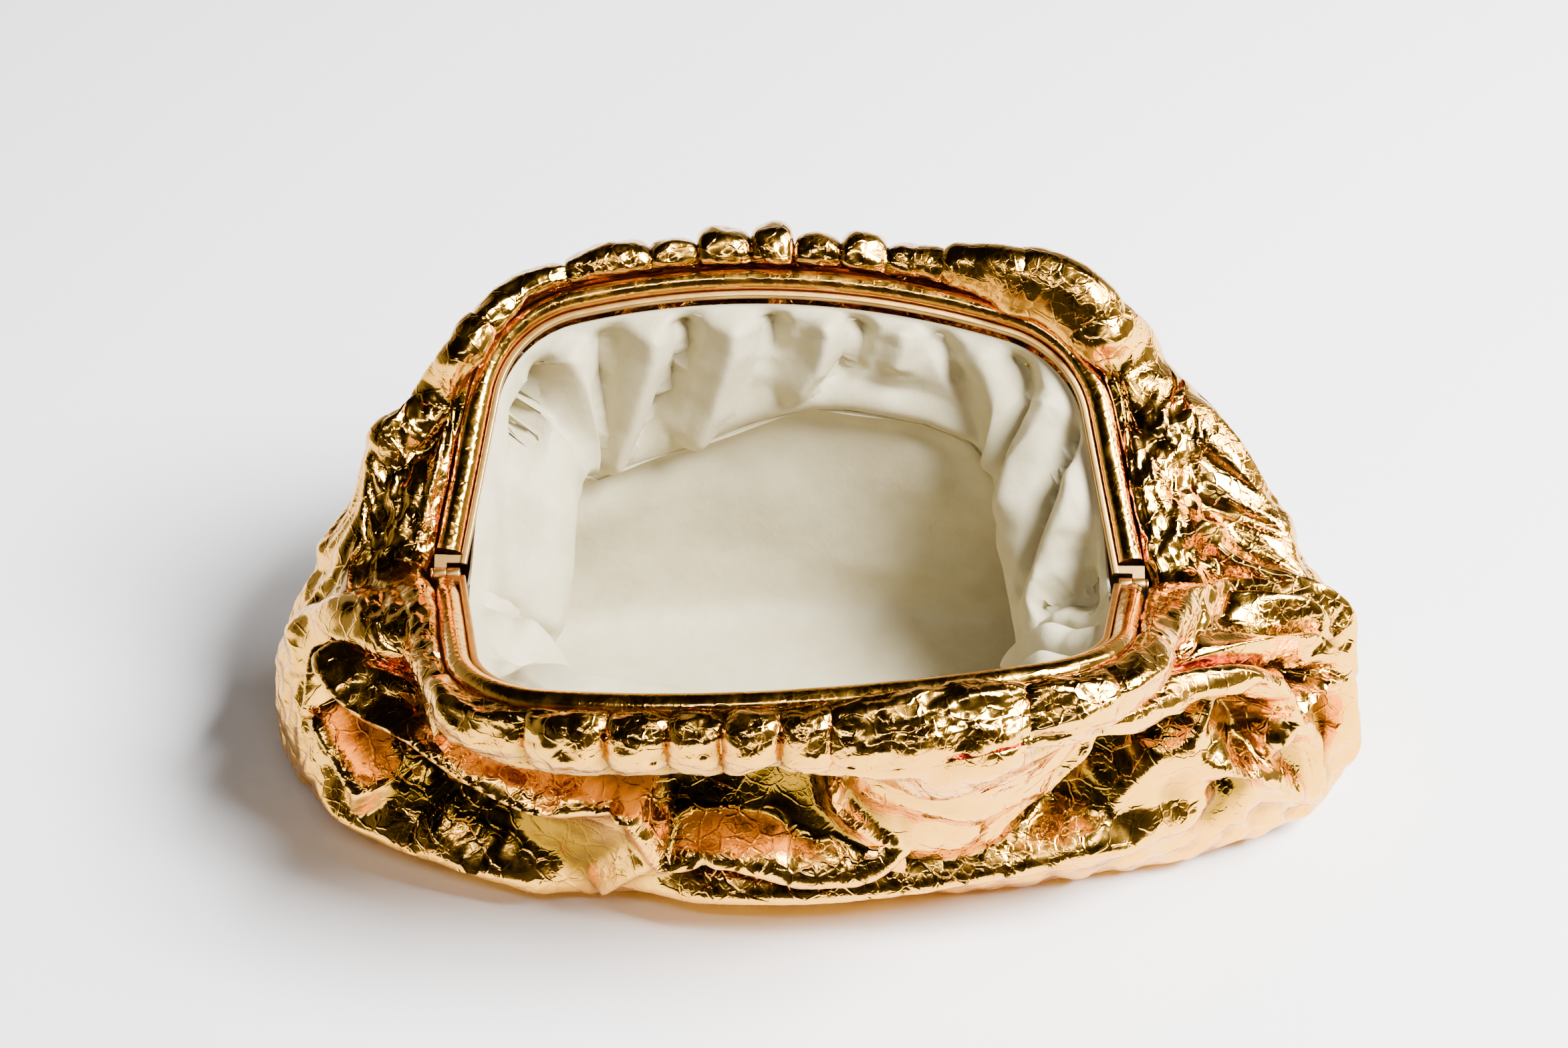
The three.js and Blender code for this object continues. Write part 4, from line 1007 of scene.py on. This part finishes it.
for side, name in ((-1, "left"), (1, "right")):
    x, end = side * halfSpan, hingeLook["length"] + hingeLook["clear"]
    head = x + side * (end + 0.1)
    rod = roundedRod("pinRod", x - side * end, x + side * (end + 0.3), hingeLook["pin"], 0.2)
    cap = roundedRod("pinHead", head, head + side * hingeLook["headThick"], hingeLook["head"], 0.3)
    pin = jointMesh("hinge_pin_" + name + "_head", [rod, cap])
    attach(pin, "root")
    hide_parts("hinge_pin_" + name)
print("frame: beads, lips, hinges")


# The stage: a pale floor that ends far off, painted dark far in front as shade, and soft studio light
stageLook = {"floor": (0.86, 0.86, 0.87, 1), "far": (0.16, 0.15, 0.14, 1), "size": 9.0}
# Soft boxes: width and depth in metres, watts, where each hangs and the place that it faces
softBoxes = [
    ("keyRight", (1.0, 1.0), 310, (1.3, -0.4, 1.75), (0, 0, 0.05)),
    ("sideRight", (0.3, 1.0), 24, (1.5, 0.6, 1.2), (0, 0, 0.05)),
    ("stripFront", (1.3, 0.09), 10, (-0.1, -1.25, 1.7), (0, 0, 0.05)),
]
worldLook = {"horizon": (0.80, 0.80, 0.82, 1), "zenith": (0.010, 0.008, 0.006, 1), "strength": 0.45, "front": 0.06}


def makeStage():
    size = stageLook["size"]
    mesh = bpy.data.meshes.new("studioFloor")
    mesh.from_pydata([(-size, -size, 0), (size, -size, 0), (size, size, 0), (-size, size, 0)], [], [(0, 1, 2, 3)])
    # the floor is pale under the bag and painted darker far off in front, a painted shade for the unlit studio on
    # the camera's side that the gold reflects
    paint = Paint("paleFloor")
    front = (paint.node("ShaderNodeSeparateXYZ", {0: paint.place()})["Y"] * -1).step(55, 160)
    colour = paint.blend(front, stageLook["floor"], stageLook["far"])
    mesh.materials.append(paint.finish(Base_Color=colour, Roughness=0.9))
    floor = linked("studioFloor", mesh)
    floor.location.z = -0.0005
    for name, (wide, deep), watts, place, aim in softBoxes:
        data = bpy.data.lights.new(name, "AREA")
        data.shape, data.size, data.size_y, data.energy = "RECTANGLE", wide, deep, watts
        light = linked(name, data)
        light.location = place
        light.rotation_mode = "QUATERNION"
        light.rotation_quaternion = (Vector(aim) - Vector(place)).to_track_quat("-Z", "Y")
    # the surroundings are pale round the horizon and dark overhead, and dimmer towards the front than at the back
    look = worldLook
    sky = Paint("studio", "worlds", "Background")
    way = sky.node("ShaderNodeSeparateXYZ", {0: sky.node("ShaderNodeTexCoord")["Generated"]})
    glow = sky.node("ShaderNodeValToRGB", {0: way["Z"]}, stops=[(0.25, look["horizon"]), (0.5, look["zenith"])])[0]
    strength = sky.node("ShaderNodeMapRange", {"Value": way["Y"], "From Min": -0.7, "From Max": 0.1,
                                               "To Min": look["front"], "To Max": look["strength"]})["Result"]
    bpy.context.scene.world = sky.finish(Color=glow, Strength=strength)


makeStage()
print("stage: floor, soft boxes, world")

bpy.context.view_layer.update()
